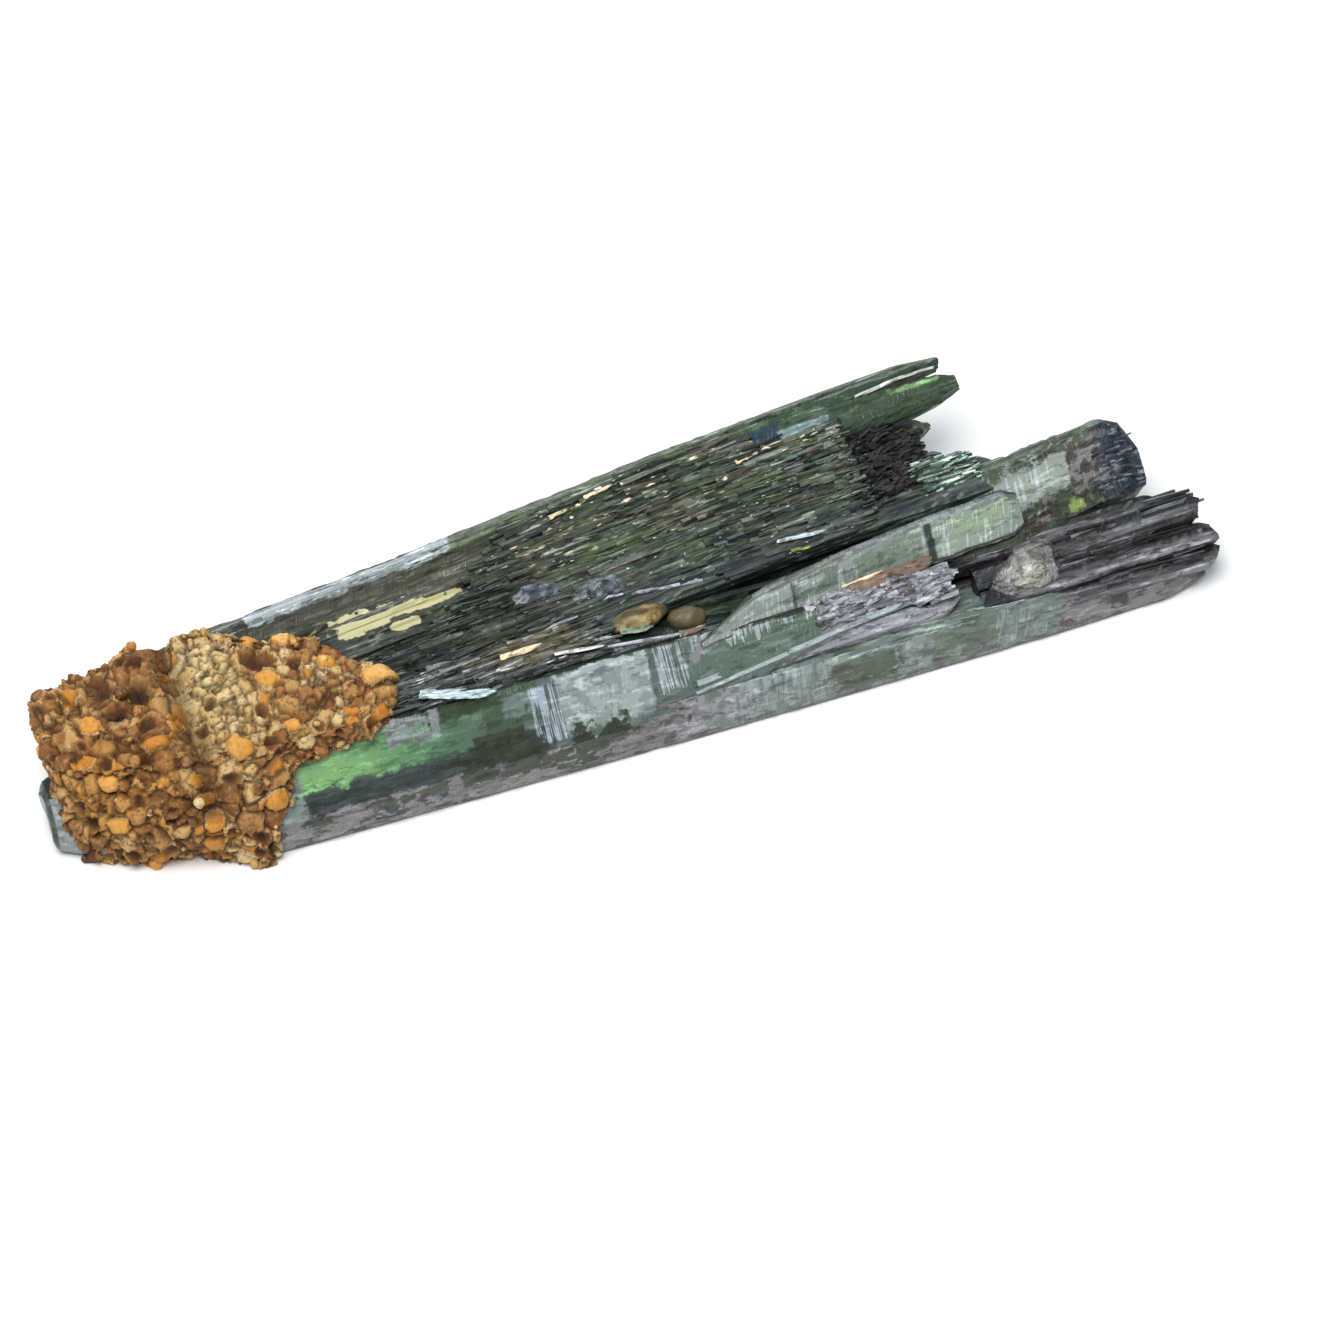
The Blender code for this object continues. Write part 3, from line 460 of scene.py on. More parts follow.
def grow(shape, loft, draw, step, facet, ridge, run=5.0, fracture=0.2, rough=None, wear=0.0):
    """Adds one crystal with striations along it and a broken surface on each end.
    step is how far apart its outlines are, facet a striation's width, ridge its height and run how
    far it goes before it steps. fracture is how deep the ends break, rough gives the sides that
    are bruised, with how deep, and wear how much the edges lose."""
    centres, across, up, outlines, lean = loft
    lengths = np.concatenate([[0.0], np.cumsum(np.linalg.norm(np.diff(centres, axis=0), axis=1))])
    count = max(3, int(round(lengths[-1] / step)) + 1)
    at = np.linspace(0.0, lengths[-1], count)

    def resampled(values):
        flat = values.reshape(len(values), -1)
        columns = [np.interp(at, lengths, column) for column in flat.T]
        return np.stack(columns, axis=1).reshape(count, *values.shape[1:])

    centre, wide, high, outline = (resampled(v) for v in (centres, across, up, outlines))
    leans = np.interp(at, lengths, lean)
    direction = (centres[-1] - centres[0]) / np.linalg.norm(centres[-1] - centres[0])

    middle = outlines.mean(axis=0)
    side_of, share = striation_edges(middle, facet, draw)
    columns = len(side_of)
    edge = outline[:, (side_of + 1) % len(middle)] - outline[:, side_of]
    flat = outline[:, side_of] + edge * share[None, :, None]
    twice_area = sum(y0 * z1 - y1 * z0 for (y0, z0), (y1, z1) in zip(middle, np.roll(middle, -1, axis=0)))
    outward = 1.0 if twice_area > 0.0 else -1.0
    normal = unit_rows(np.stack([edge[..., 1], -edge[..., 0]], axis=-1) * outward)
    values = runs(count, columns, step, run, draw)
    height = values * ridge
    for side, depth in (rough or {}).items():
        bruised = side_of == side
        height[:, bruised] += depth * np.array([
            [noise.noise(Vector((a * DENT_FINE[0], s * DENT_FINE[1], side))) for s in share[bruised]]
            for a in at])
    height *= (share > 0.0)[None, :]
    flat = flat + normal * height[..., None]
    if wear:
        for corner in np.flatnonzero(share == 0.0):
            flat[:, corner] += nicked(flat, corner, at, wear)

    def placed(row, points, push):
        return (centre[row] + wide[row] * points[:, :1] + high[row] * points[:, 1:]
                + direction * (leans[row] * points[:, 0] + push)[:, None])

    points = [placed(row, flat[row], np.zeros(columns)) for row in range(count)]
    offset = centres[0][0]
    low = side_of + share
    high_share = np.where(np.roll(side_of, -1) == side_of, side_of + np.roll(share, -1), side_of + 1.0)
    faces, corners, tints, broken = [], [], [], []

    def add_face(ring, after_ring, column, u0, u1, tint, is_broken):
        after = (column + 1) % columns
        face = (ring[column], ring[after], after_ring[after], after_ring[column])
        if after_ring[after] == after_ring[column]:
            face = face[:3]
        v0, v1 = low[column], high_share[column]
        faces.append(face)
        corners.append(((u0, v0), (u0, v1), (u1, v1), (u1, v0))[:len(face)])
        tints.append(tint)
        broken.append(is_broken)

    # A striation's tint follows its height: raised ones get a lighter tint and sunk ones a darker, painted
    # light and shade for the finishes that read it.
    tint = 0.5 + 0.5 * values
    rings = [range(row * columns, (row + 1) * columns) for row in range(count)]
    for row in range(count - 1):
        for column in range(columns):
            add_face(rings[row], rings[row + 1], column, offset + at[row], offset + at[row + 1],
                     float(tint[row, column]), 0.0)

    base = count * columns
    for row, sense in ((0, -1.0), (count - 1, 1.0)):
        heart = flat[row].mean(axis=0)
        u = offset + at[row]
        salt = draw.uniform(0.0, 50.0)
        ring = rings[row]
        for reach in END_RINGS:
            inner = heart + (flat[row] - heart) * reach
            if reach == 0.0:
                inner = inner[:1]
            levels = np.array([noise.noise(Vector((y * END_ROUGH, z * END_ROUGH, salt))) for y, z in inner])
            levels = np.round(levels * END_LEVELS) / (END_LEVELS / END_REACH)
            points.append(placed(row, inner, sense * fracture * levels))
            within = [base + index % len(inner) for index in range(columns)]
            for column in range(columns):
                add_face(ring, within, column, u, u, 0.5 + 0.5 * float(levels[column % len(inner)]), 1.0)
            base += len(inner)
            ring = within
    shape.add(np.concatenate(points), faces, corners, tints, broken)


# How many points a lump has round it and from top to bottom.
LUMP_SEGMENTS = 56
LUMP_RINGS = 36


def rounded(shape, centre, half_sizes, turn, draw, dent, dent_size):
    """Adds a smooth lump with shallow dents."""
    centre, segments = Vector(centre), LUMP_SEGMENTS
    spin = Matrix.Rotation(math.radians(turn), 3, "Z")
    seed = Vector((draw.uniform(0, 50), draw.uniform(0, 50), 0.0))
    points = []
    for ring in range(1, LUMP_RINGS):
        polar = math.pi * ring / LUMP_RINGS
        for segment in range(segments):
            angle = 2.0 * math.pi * segment / segments
            unit = (math.sin(polar) * math.cos(angle), math.sin(polar) * math.sin(angle), math.cos(polar))
            sized = Vector([part * half for part, half in zip(Vector(unit), half_sizes)])
            sized *= 1.0 + dent * noise.noise(sized / dent_size + seed)
            points.append(centre + spin @ sized)
    top = len(points)
    last = top - segments
    peak = Vector((0.0, 0.0, half_sizes[2]))
    points += [centre + peak, centre - peak]
    faces = []
    for first in range(0, last, segments):
        for segment in range(segments):
            after = (segment + 1) % segments
            below = first + segments
            faces.append((first + segment, first + after, below + after, below + segment))
    for segment in range(segments):
        after = (segment + 1) % segments
        faces.append((top, after, segment))
        faces.append((top + 1, last + segment, last + after))
    corners = [[(points[index].x, points[index].z) for index in face] for face in faces]
    shape.add([tuple(point) for point in points], faces, corners, [0.5] * len(faces), [0.0] * len(faces))


# Node trees

ORIGIN = (0.0, 0.0, 0.0)

# The kind of socket that takes each kind of first value.
SOCKET_KINDS = {bool: "NodeSocketBool", int: "NodeSocketInt", float: "NodeSocketFloat",
                tuple: "NodeSocketVector"}


class Nodes:
    """Adds nodes to one tree and joins them."""

    def __init__(self, tree):
        self.tree = tree

    def put(self, value, socket):
        """Links a socket to another one, or sets its value. A colour comes without its alpha."""
        if isinstance(value, bpy.types.NodeSocket):
            self.tree.links.new(value, socket)
        elif socket.type == "RGBA":
            socket.default_value = (*value, 1.0)
        else:
            socket.default_value = value

    def add(self, kind, inputs=None, **settings):
        """A node with its settings, and its inputs by name or number."""
        node = self.tree.nodes.new(kind)
        for key, value in settings.items():
            setattr(node, key, value)
        for key, value in (inputs or {}).items():
            self.put(value, node.inputs[key])
        return node

    def first(self, kind, inputs=None, **settings):
        """The first output of such a node."""
        return self.add(kind, inputs, **settings).outputs[0]

    def ends(self, *values):
        """The finished tree, with these values as its outputs."""
        self.add("NodeGroupOutput", dict(enumerate(values)))
        return self.tree

    def math(self, operation, a, b=0.0, c=0.0):
        """The result of a Math node."""
        return self.first("ShaderNodeMath", {0: a, 1: b, 2: c}, operation=operation)

    def plus(self, a, b):
        """Two values added."""
        return self.math("ADD", a, b)

    def minus(self, a, b):
        """One value less another."""
        return self.math("SUBTRACT", a, b)

    def times(self, *values):
        """Several values multiplied."""
        product = values[0]
        for value in values[1:]:
            product = self.math("MULTIPLY", product, value)
        return product

    def vector(self, operation, a, b=ORIGIN):
        """The result of a Vector Math node."""
        return self.first("ShaderNodeVectorMath", {0: a, 1: b}, operation=operation)

    def scaled(self, vector, factor):
        """A vector made longer, or a colour made lighter, by a factor."""
        return self.first("ShaderNodeVectorMath", {0: vector, "Scale": factor}, operation="SCALE")

    def xyz(self, x=0.0, y=0.0, z=0.0):
        """A vector from its parts."""
        return self.first("ShaderNodeCombineXYZ", {0: x, 1: y, 2: z})

    def parts(self, vector):
        """The three parts of a vector."""
        return self.add("ShaderNodeSeparateXYZ", {0: vector}).outputs[:]

    def spread(self, value, low, high, to_low=0.0, to_high=1.0):
        """A value taken smoothly from one range to another, held at the ends."""
        inputs = {"Value": value, "From Min": low, "From Max": high, "To Min": to_low, "To Max": to_high}
        return self.first("ShaderNodeMapRange", inputs, interpolation_type="SMOOTHSTEP")

    def mix(self, factor, a, b):
        """Two colours mixed."""
        return self.add("ShaderNodeMix", {0: factor, 6: a, 7: b}, data_type="RGBA").outputs[2]

    def ramp(self, value, stops, interpolation="LINEAR"):
        """A colour ramp over (place, colour) stops."""
        node = self.add("ShaderNodeValToRGB", {0: value})
        ramp = node.color_ramp
        ramp.interpolation = interpolation
        while len(ramp.elements) < len(stops):
            ramp.elements.new(1.0)
        for element, (place, colour) in zip(ramp.elements, stops):
            element.position = place
            element.color = (*colour, 1.0)
        return node.outputs[0]

    def noise(self, vector, scale, detail=3.0, roughness=0.5):
        """A noise value from 0 to 1."""
        return self.first("ShaderNodeTexNoise", {"Vector": vector, "Scale": scale, "Detail": detail,
                                                 "Roughness": roughness})

    def cells(self, vector, scale, **settings):
        """Cells with a random value for each, and the distance from its middle."""
        made = self.add("ShaderNodeTexVoronoi", {"Vector": vector, "Scale": scale}, **settings).outputs
        return self.first("ShaderNodeSeparateColor", {0: made["Color"]}), made["Distance"]

    def random(self, low, high, seed):
        """A random number for each point, in a geometry tree."""
        return self.add("FunctionNodeRandomValue", {2: low, 3: high, "Seed": seed},
                        data_type="FLOAT").outputs[1]

    def rotation(self, x, y, z):
        """A rotation from its three angles, in a geometry tree."""
        return self.first("FunctionNodeEulerToRotation", {0: self.xyz(x, y, z)})

    def moved(self, geometry, offset):
        """Geometry with its points moved."""
        return self.first("GeometryNodeSetPosition", {"Geometry": geometry, "Offset": offset})

    def strewn(self, points, shape, rotation, size, tint):
        """A shape on every point, each with its own tint, made into real faces."""
        copies = self.first("GeometryNodeInstanceOnPoints", {
            "Points": points, "Instance": shape, "Rotation": rotation, "Scale": size})
        tinted = self.first("GeometryNodeStoreNamedAttribute", {
            "Geometry": copies, "Name": "tint", "Value": tint}, domain="INSTANCE", data_type="FLOAT")
        return self.first("GeometryNodeRealizeInstances", {0: tinted})

    def painted(self, geometry, material):
        """Geometry with its material."""
        return self.first("GeometryNodeSetMaterial", {"Geometry": geometry, "Material": material})


def new_tree(kind, name, outputs, inputs):
    """What adds nodes to a new tree, and its inputs. Each is made from its first value, or from
    its kind of socket."""
    tree = bpy.data.node_groups.new(name, kind)
    for key, value in inputs.items():
        if isinstance(value, str):
            tree.interface.new_socket(key, in_out="INPUT", socket_type=value)
        else:
            socket = tree.interface.new_socket(key, in_out="INPUT", socket_type=SOCKET_KINDS[type(value)])
            socket.default_value = value
    for key, value in outputs.items():
        tree.interface.new_socket(key, in_out="OUTPUT", socket_type=value)
    n = Nodes(tree)
    return n, n.add("NodeGroupInput").outputs[:len(inputs)]


# Laths and grains

FULL_TURN = 6.28

# A lath: its sides, its radii at the two ends and its thickness as shares of its width, how far
# the end line is ragged in millimetres, and the shortest lath as a share of its room.
LATH_SIDES = 5
LATH_RADII = (0.5, 0.36)
LATH_DEPTH = 0.7
END_RAGGED = (-0.5, 0.7)
LATH_LEAST = 0.3

# A grain: how far its three sizes stray, how far its shade strays, how many there may be on a
# square millimetre and the scale of its lumps.
GRAIN_SIZES = ((0.85, 1.15), (0.8, 1.1), (0.75, 1.05))
GRAIN_STRAY = 0.16
GRAIN_DENSITY = 40.0
GRAIN_LUMPS = 2.6


def scatter_tree(name, **inputs):
    """A new geometry tree: what adds nodes to it and its inputs, from the surface to the material."""
    surface = {"Geometry": "NodeSocketGeometry"}
    material = {"Material": "NodeSocketMaterial"}
    return new_tree("GeometryNodeTree", name, surface, {**surface, **inputs, **material})


def lath_tree():
    """Thin five-sided laths on a surface, that fan out from one point and stop at an end line."""
    n, given = scatter_tree("spray_laths", Density=8.0, Seed=1, Apex=ORIGIN, End=14.0, Short=1.0, Long=6.0,
                            Thin=0.1, Thick=0.3, Tilt=0.05, Lift=0.1)
    surface, density, seed, apex, end, short, long, thin, thick, tilt, lift, material = given
    points = n.first("GeometryNodeDistributePointsOnFaces", {
        "Mesh": surface, "Density": density, "Seed": seed})
    place = n.first("GeometryNodeInputPosition")
    lifted = n.moved(points, n.xyz(z=n.random(n.times(lift, -1.0), lift, 8)))
    away = n.vector("SUBTRACT", place, apex)
    facing = n.first("FunctionNodeAlignRotationToVector", {"Vector": away}, axis="Z")
    least = n.times(tilt, -1.0)
    turn = n.rotation(n.random(least, tilt, 2), n.random(least, tilt, 3), n.random(0.0, FULL_TURN, 4))
    turned = n.first("FunctionNodeRotateRotation", {0: facing, 1: turn}, rotation_space="LOCAL")
    width = n.random(thin, thick, 5)
    room = n.plus(n.minus(end, n.parts(place)[0]), n.random(*END_RAGGED, 9))
    room = n.math("MAXIMUM", n.times(room, 2.0), LATH_LEAST)
    length = n.math("MINIMUM", n.random(short, long, 6), room)
    lath = n.first("GeometryNodeMeshCone", {"Vertices": LATH_SIDES, "Radius Top": LATH_RADII[1],
                                            "Radius Bottom": LATH_RADII[0], "Depth": 1.0})
    lath = n.first("GeometryNodeTransform", {"Geometry": lath, "Translation": (0.0, 0.0, -0.5)})
    size = n.xyz(width, n.times(width, LATH_DEPTH), length)
    return n.ends(n.painted(n.strewn(lifted, lath, turned, size, n.random(0.0, 1.0, 7)), material))


def grain_tree():
    """Lumpy round grains on a surface, no two closer than a given distance."""
    n, given = scatter_tree("round_grains", Spacing=0.6, Seed=1, Small=0.2, Large=0.5, Sunk=0.1,
                            Lumpiness=0.1, Finish=2, Smooth=True)
    surface, spacing, seed, small, large, sunk, lumpiness, finish, smooth, material = given
    points = n.add("GeometryNodeDistributePointsOnFaces", {
        "Mesh": surface, "Distance Min": spacing, "Density Max": GRAIN_DENSITY, "Seed": seed},
        distribute_method="POISSON").outputs
    set_in = n.moved(points[0], n.scaled(points["Normal"], n.times(sunk, -1.0)))
    radius = n.random(small, large, 2)
    size = n.xyz(*(n.times(radius, n.random(*stray, 3 + axis)) for axis, stray in enumerate(GRAIN_SIZES)))
    turn = n.rotation(*(n.random(0.0, FULL_TURN, 6 + axis) for axis in range(3)))
    ball = n.first("GeometryNodeMeshIcoSphere", {"Radius": 1.0, "Subdivisions": finish})
    shade = n.first("GeometryNodeInputNamedAttribute", {"Name": "tint"}, data_type="FLOAT")
    tint = n.plus(shade, n.random(-GRAIN_STRAY, GRAIN_STRAY, 9))
    grains = n.strewn(set_in, ball, turn, size, tint)
    bumps = n.minus(n.noise(n.first("GeometryNodeInputPosition"), GRAIN_LUMPS, 2.0), 0.5)
    lumpy = n.moved(grains, n.scaled(n.first("GeometryNodeInputNormal"), n.times(bumps, lumpiness)))
    shaded = n.first("GeometryNodeSetShadeSmooth", {"Geometry": lumpy, "Shade Smooth": smooth})
    return n.ends(n.painted(shaded, material))


def scattered(name, surface, tree, inputs, material):
    """What a geometry tree makes on a surface mesh in design millimetres, as a finished piece."""
    carrier = new_object(name, surface)
    modifier = carrier.modifiers.new(name, "NODES")
    modifier.node_group = tree
    for item in tree.interface.items_tree:
        if item.item_type != "SOCKET" or item.in_out != "INPUT":
            continue
        if item.name == "Material":
            modifier[item.identifier] = material
        elif item.name in inputs:
            modifier[item.identifier] = inputs[item.name]
    mesh = evaluated_mesh(carrier)
    carrier.modifiers.clear()
    bpy.data.objects.remove(carrier, do_unlink=True)
    set_points(mesh, in_frame(vectors_of(mesh.vertices, "co")))
    return new_object(name, mesh)


# Shader groups

def shader_group(name, *outputs, **inputs):
    """A new shader group: what adds nodes to it and its inputs."""
    return new_tree("ShaderNodeTree", name, {key: "NodeSocketFloat" for key in outputs}, inputs)


def striation_group():
    """Fine lines along a crystal, from how far along it a point is and where across its sides."""
    n, (along, side, lines, length) = shader_group("striations", "Lines", Along=0.0, Side=0.0, Lines=14.0,
                                                   Length=12.0)
    broad = n.xyz(n.math("DIVIDE", along, length), n.times(side, lines))
    fine = n.vector("MULTIPLY", broad, (2.3, 3.1, 1.0))
    both = n.plus(n.times(n.noise(broad, 1.0, 2.0), 0.6), n.times(n.noise(fine, 1.0, 2.0), 0.4))
    return n.ends(n.spread(both, 0.34, 0.66))


def cross_line_group():
    """Thin lines square to a crystal's length, crowded in some places and missing in others."""
    n, (along, side, crowding, slant, share) = shader_group("cross_lines", "Lines", Along=0.0, Side=0.0,
                                                            Crowding=5.0, Slant=0.0, Share=0.5)
    place = n.xyz(n.times(n.plus(along, n.times(side, slant)), crowding), n.times(side, 1.3))
    broad = n.minus(n.noise(n.vector("MULTIPLY", place, (0.16, 2.0, 1.0)), 1.0, 2.0), 0.5)
    level = n.minus(0.64, n.times(share, 0.2))
    thin = n.plus(n.noise(place, 1.0, 1.5), n.times(broad, 0.5))
    return n.ends(n.spread(thin, level, n.plus(level, 0.08)))


def drip_group():
    """Ragged drips down a crystal's side from a high line, each of its own length."""
    n, (along, side, low, high, crowding) = shader_group("drips", "Mask", Along=0.0, Side=0.0, Low=0.0,
                                                         High=1.0, Crowding=2.0)
    place = n.xyz(n.times(along, crowding), n.times(side, 0.5))
    reach = n.spread(n.noise(place, 1.0, 4.0, 0.7), 0.42, 0.66)
    edge = n.minus(high, n.times(n.minus(high, low), reach))
    return n.ends(n.spread(side, edge, n.plus(edge, 0.05)))


def block_group():
    """Long straight-edged blocks, each with a value of its own, as cleavage leaves them."""
    n, (along, side, wander, length, rows) = shader_group("cleavage_blocks", "Value", Along=0.0, Side=0.0,
                                                          Wander=0.0, Length=3.0, Rows=3.0)
    place = n.xyz(n.math("DIVIDE", n.plus(along, wander), length),
                  n.times(n.plus(side, n.times(wander, 0.12)), rows))
    return n.ends(n.cells(place, 1.0, voronoi_dimensions="2D", distance="CHEBYCHEV")[0])


def zone_group():
    """A ragged-edged stretch of a crystal's sides, from start to end and from low to high."""
    n, given = shader_group("zone", "Mask", Along=0.0, Side=0.0, Wander=0.0, Sway=0.0, Start=0.0, End=1.0,
                            Low=0.0, High=1.0, Ragged=0.5, Edge=0.1)
    along, side, wander, sway, start, end, low, high, ragged, edge = given

    def within(value, first, last, soft):
        rise = n.spread(value, n.minus(first, soft), n.plus(first, soft))
        return n.times(rise, n.spread(value, n.minus(last, soft), n.plus(last, soft), 1.0, 0.0))

    along = n.plus(along, n.times(wander, ragged))
    side = n.plus(side, n.times(sway, ragged, 0.35))
    return n.ends(n.times(within(along, start, end, edge), within(side, low, high, n.times(edge, 0.25))))


def patch_group():
    """A ragged spot about a place on the shard."""
    n, (place, centre, half, ragged, detail, soft) = shader_group(
        "ragged_patch", "Mask", Place=ORIGIN, Centre=ORIGIN, Half=(1.0, 1.0, 1.0), Ragged=0.4, Detail=2.0,
        Soft=0.3)
    away = n.vector("DIVIDE", n.vector("SUBTRACT", place, centre), half)
    away = n.add("ShaderNodeVectorMath", {0: away}, operation="LENGTH").outputs["Value"]
    rag = n.minus(n.noise(place, detail, 4.0), 0.5)
    edge = n.plus(away, n.times(rag, n.times(ragged, 3.0)))
    return n.ends(n.spread(edge, n.minus(1.0, soft), n.plus(1.0, soft), 1.0, 0.0))


def fleck_group():
    """Ragged light and dark flecks, drawn out along the crystals."""
    n, (place, lean, long, fine) = shader_group("flecks", "Light", "Dark", Place=ORIGIN, Lean=0.0, Long=0.6,
                                                Fine=2.4)
    x, y, z = n.parts(place)
    spot = n.xyz(n.times(x, long), n.times(n.minus(y, n.times(x, lean)), fine), n.times(z, fine))
    other = n.vector("ADD", spot, (17.3, 5.1, 9.7))
    return n.ends(n.spread(n.noise(spot, 1.0, 5.0, 0.65), 0.54, 0.6),
                  n.spread(n.noise(other, 1.0, 5.0, 0.65), 0.53, 0.59))


def mottle_group():
    """Crisp-edged mottles, as of a film or a bruise."""
    n, (place, scale, share, soft) = shader_group("mottle", "Mask", Place=ORIGIN, Scale=1.0, Share=0.4,
                                                  Soft=0.04)
    level = n.minus(0.68, n.times(share, 0.36))
    return n.ends(n.spread(n.noise(place, scale, 5.0, 0.6), n.minus(level, soft), n.plus(level, soft)))


def glint_group():
    """Scattered bright specks, the mask of painted glints."""
    n, (place, scale, size, share) = shader_group("glints", "Mask", Place=ORIGIN, Scale=4.0, Size=0.2,
                                                  Share=0.2)
    wobble = n.add("ShaderNodeTexNoise", {"Vector": place, "Scale": 5.0}).outputs[1]
    pick, away = n.cells(n.vector("ADD", place, n.vector("MULTIPLY", wobble, (0.4, 0.4, 0.4))), scale)
    near = n.spread(away, n.times(size, 0.6), size, 1.0, 0.0)
    return n.ends(n.times(n.math("LESS_THAN", pick, share), near))


GROUPS = {
    "striations": striation_group(),
    "cross_lines": cross_line_group(),
    "drips": drip_group(),
    "blocks": block_group(),
    "zone": zone_group(),
    "patch": patch_group(),
    "flecks": fleck_group(),
    "mottle": mottle_group(),
    "glints": glint_group(),
}


# Finishes

# Colours, as linear red, green and blue.
# The window colours are painted glow: light shining through the front crystal.
WINDOW_GLOW_BRIGHT = (0.25, 0.5, 0.2)
WINDOW_GLOW_GREEN = (0.13, 0.29, 0.15)
WINDOW_GLOW_DEEP = (0.07, 0.14, 0.085)
BAND = (0.045, 0.065, 0.055)
OLIVE = (0.075, 0.1, 0.06)
DARK_OLIVE = (0.035, 0.042, 0.022)
SAGE = (0.1, 0.14, 0.11)
GREY_GREEN = (0.14, 0.175, 0.165)
PEARL = (0.26, 0.31, 0.305)
# SHEEN is painted sheen: pale reflected light painted into a face's colour.
SHEEN = (0.44, 0.52, 0.51)
ICE = (0.5, 0.57, 0.6)
LILAC = (0.185, 0.18, 0.19)
PALE_LILAC = (0.33, 0.33, 0.365)
MAUVE = (0.09, 0.085, 0.09)
INK = (0.006, 0.009, 0.008)
BOTTLE = (0.015, 0.026, 0.018)
MOSS = (0.033, 0.047, 0.026)
STEEL = (0.08, 0.098, 0.108)
NAVY = (0.012, 0.022, 0.036)
UMBER = (0.03, 0.022, 0.014)
RUST = (0.21, 0.14, 0.1)
CREAM = (0.55, 0.53, 0.29)
# RIM_GLOW_GREEN is painted glow, where light shines through the rim's tips.
RIM_GLOW_GREEN = (0.15, 0.33, 0.12)
# GLINT_GOLD is the colour of painted glints.
GLINT_GOLD = (0.9, 0.7, 0.46)
# PIT_SHADE_BROWN paints shade in the crust's pits, sockets and seams, and is also the darkest stop of its
# crumbs' colours.
PIT_SHADE_BROWN = (0.035, 0.012, 0.004)
BURNT = (0.16, 0.058, 0.012)
HAZEL = (0.33, 0.145, 0.04)
ORANGE = (0.52, 0.195, 0.018)
BRIGHT_ORANGE = (0.74, 0.33, 0.04)
OCHRE = (0.5, 0.275, 0.085)
BUFF = (0.64, 0.44, 0.19)
PALE_BUFF = (0.78, 0.62, 0.34)
AMBER = (0.45, 0.33, 0.13)


class Finish(Nodes):
    """One material: its nodes, its Principled shader and the places that its patterns read."""

    def __init__(self, name, roughness, ior=1.6, transmission=0.0, coat=0.0, coat_roughness=0.1):
        self.material = bpy.data.materials.new(name)
        self.material.use_nodes = True
        super().__init__(self.material.node_tree)
        self.shader = self.tree.nodes["Principled BSDF"]
        self.give("Roughness", roughness)
        self.give("IOR", ior)
        self.give("Transmission Weight", transmission)
        self.give("Coat Weight", coat)
        self.give("Coat Roughness", coat_roughness)
        here = self.add("ShaderNodeTexCoord").outputs["Object"]
        self.place = self.first("ShaderNodeMapping", {
            "Vector": here, "Scale": (MM_A_METRE,) * 3, "Location": tuple(SHIFT * -MM_A_METRE)})
        self.x, self.y, self.z = self.parts(self.place)

    def give(self, key, value):
        """Sets or links an input of the shader."""
        self.put(value, self.shader.inputs[key])

    def grown(self):
        """How far along a crystal a point is, and its side with the share across it."""
        return self.parts(self.first("ShaderNodeUVMap", uv_map="grown"))[:2]

    def value(self, name):
        """A piece's own attribute."""
        return self.add("ShaderNodeAttribute", attribute_name=name).outputs["Fac"]

    def across(self, lean):
        """How far back a place is, across crystals that lean."""
        return self.minus(self.y, self.times(self.x, lean))

    def group(self, name, **inputs):
        """The outputs of a shader group with its inputs set or linked, or its only one."""
        outputs = self.add("ShaderNodeGroup", inputs, node_tree=GROUPS[name]).outputs
        return outputs[0] if len(outputs) == 1 else outputs

    def patch(self, centre, half, ragged, detail, soft):
        """A ragged spot on the shard."""
        return self.group("patch", Place=self.place, Centre=centre, Half=half, Ragged=ragged,
                          Detail=detail, Soft=soft)

    def mottle(self, scale, share, soft, place=None):
        """Crisp-edged mottles."""
        return self.group("mottle", Place=self.place if place is None else place, Scale=scale,
                          Share=share, Soft=soft)

    def glints(self, place, scale, size, share):
        """Scattered bright specks, the mask of painted glints."""
        return self.group("glints", Place=place, Scale=scale, Size=size, Share=share)

    def flecked(self, colour, lean, long, fine, light, dark):
        """A colour broken up by light and dark flecks."""
        flecks = self.group("flecks", Place=self.place, Lean=lean, Long=long, Fine=fine)
        factor = self.math("MULTIPLY_ADD", flecks["Light"], light, 1.0)
        return self.scaled(colour, self.math("MULTIPLY_ADD", flecks["Dark"], -dark, factor))

    def over(self, colour, paint, *masks):
        """A colour with another one over it, as far as the masks together say."""
        return self.mix(self.times(*masks), colour, paint)

    def wander(self, scale, offset):
        """A noise from about -0.5 to 0.5, to make an edge ragged."""
        moved = self.vector("ADD", self.place, (offset, 0.0, 0.0))
        return self.minus(self.noise(moved, scale, 4.0, 0.6), 0.5)

    def finish(self, colour, roughness, height, depth):
        """The material with its colour, its roughness if that varies, and a bump with its depth
        in millimetres."""
        self.give("Base Color", colour)
        if roughness is not None:
            self.give("Roughness", roughness)
        self.give("Normal", self.first("ShaderNodeBump", {
            "Height": height, "Distance": depth * MM, "Strength": 1.0}))
        return self.material


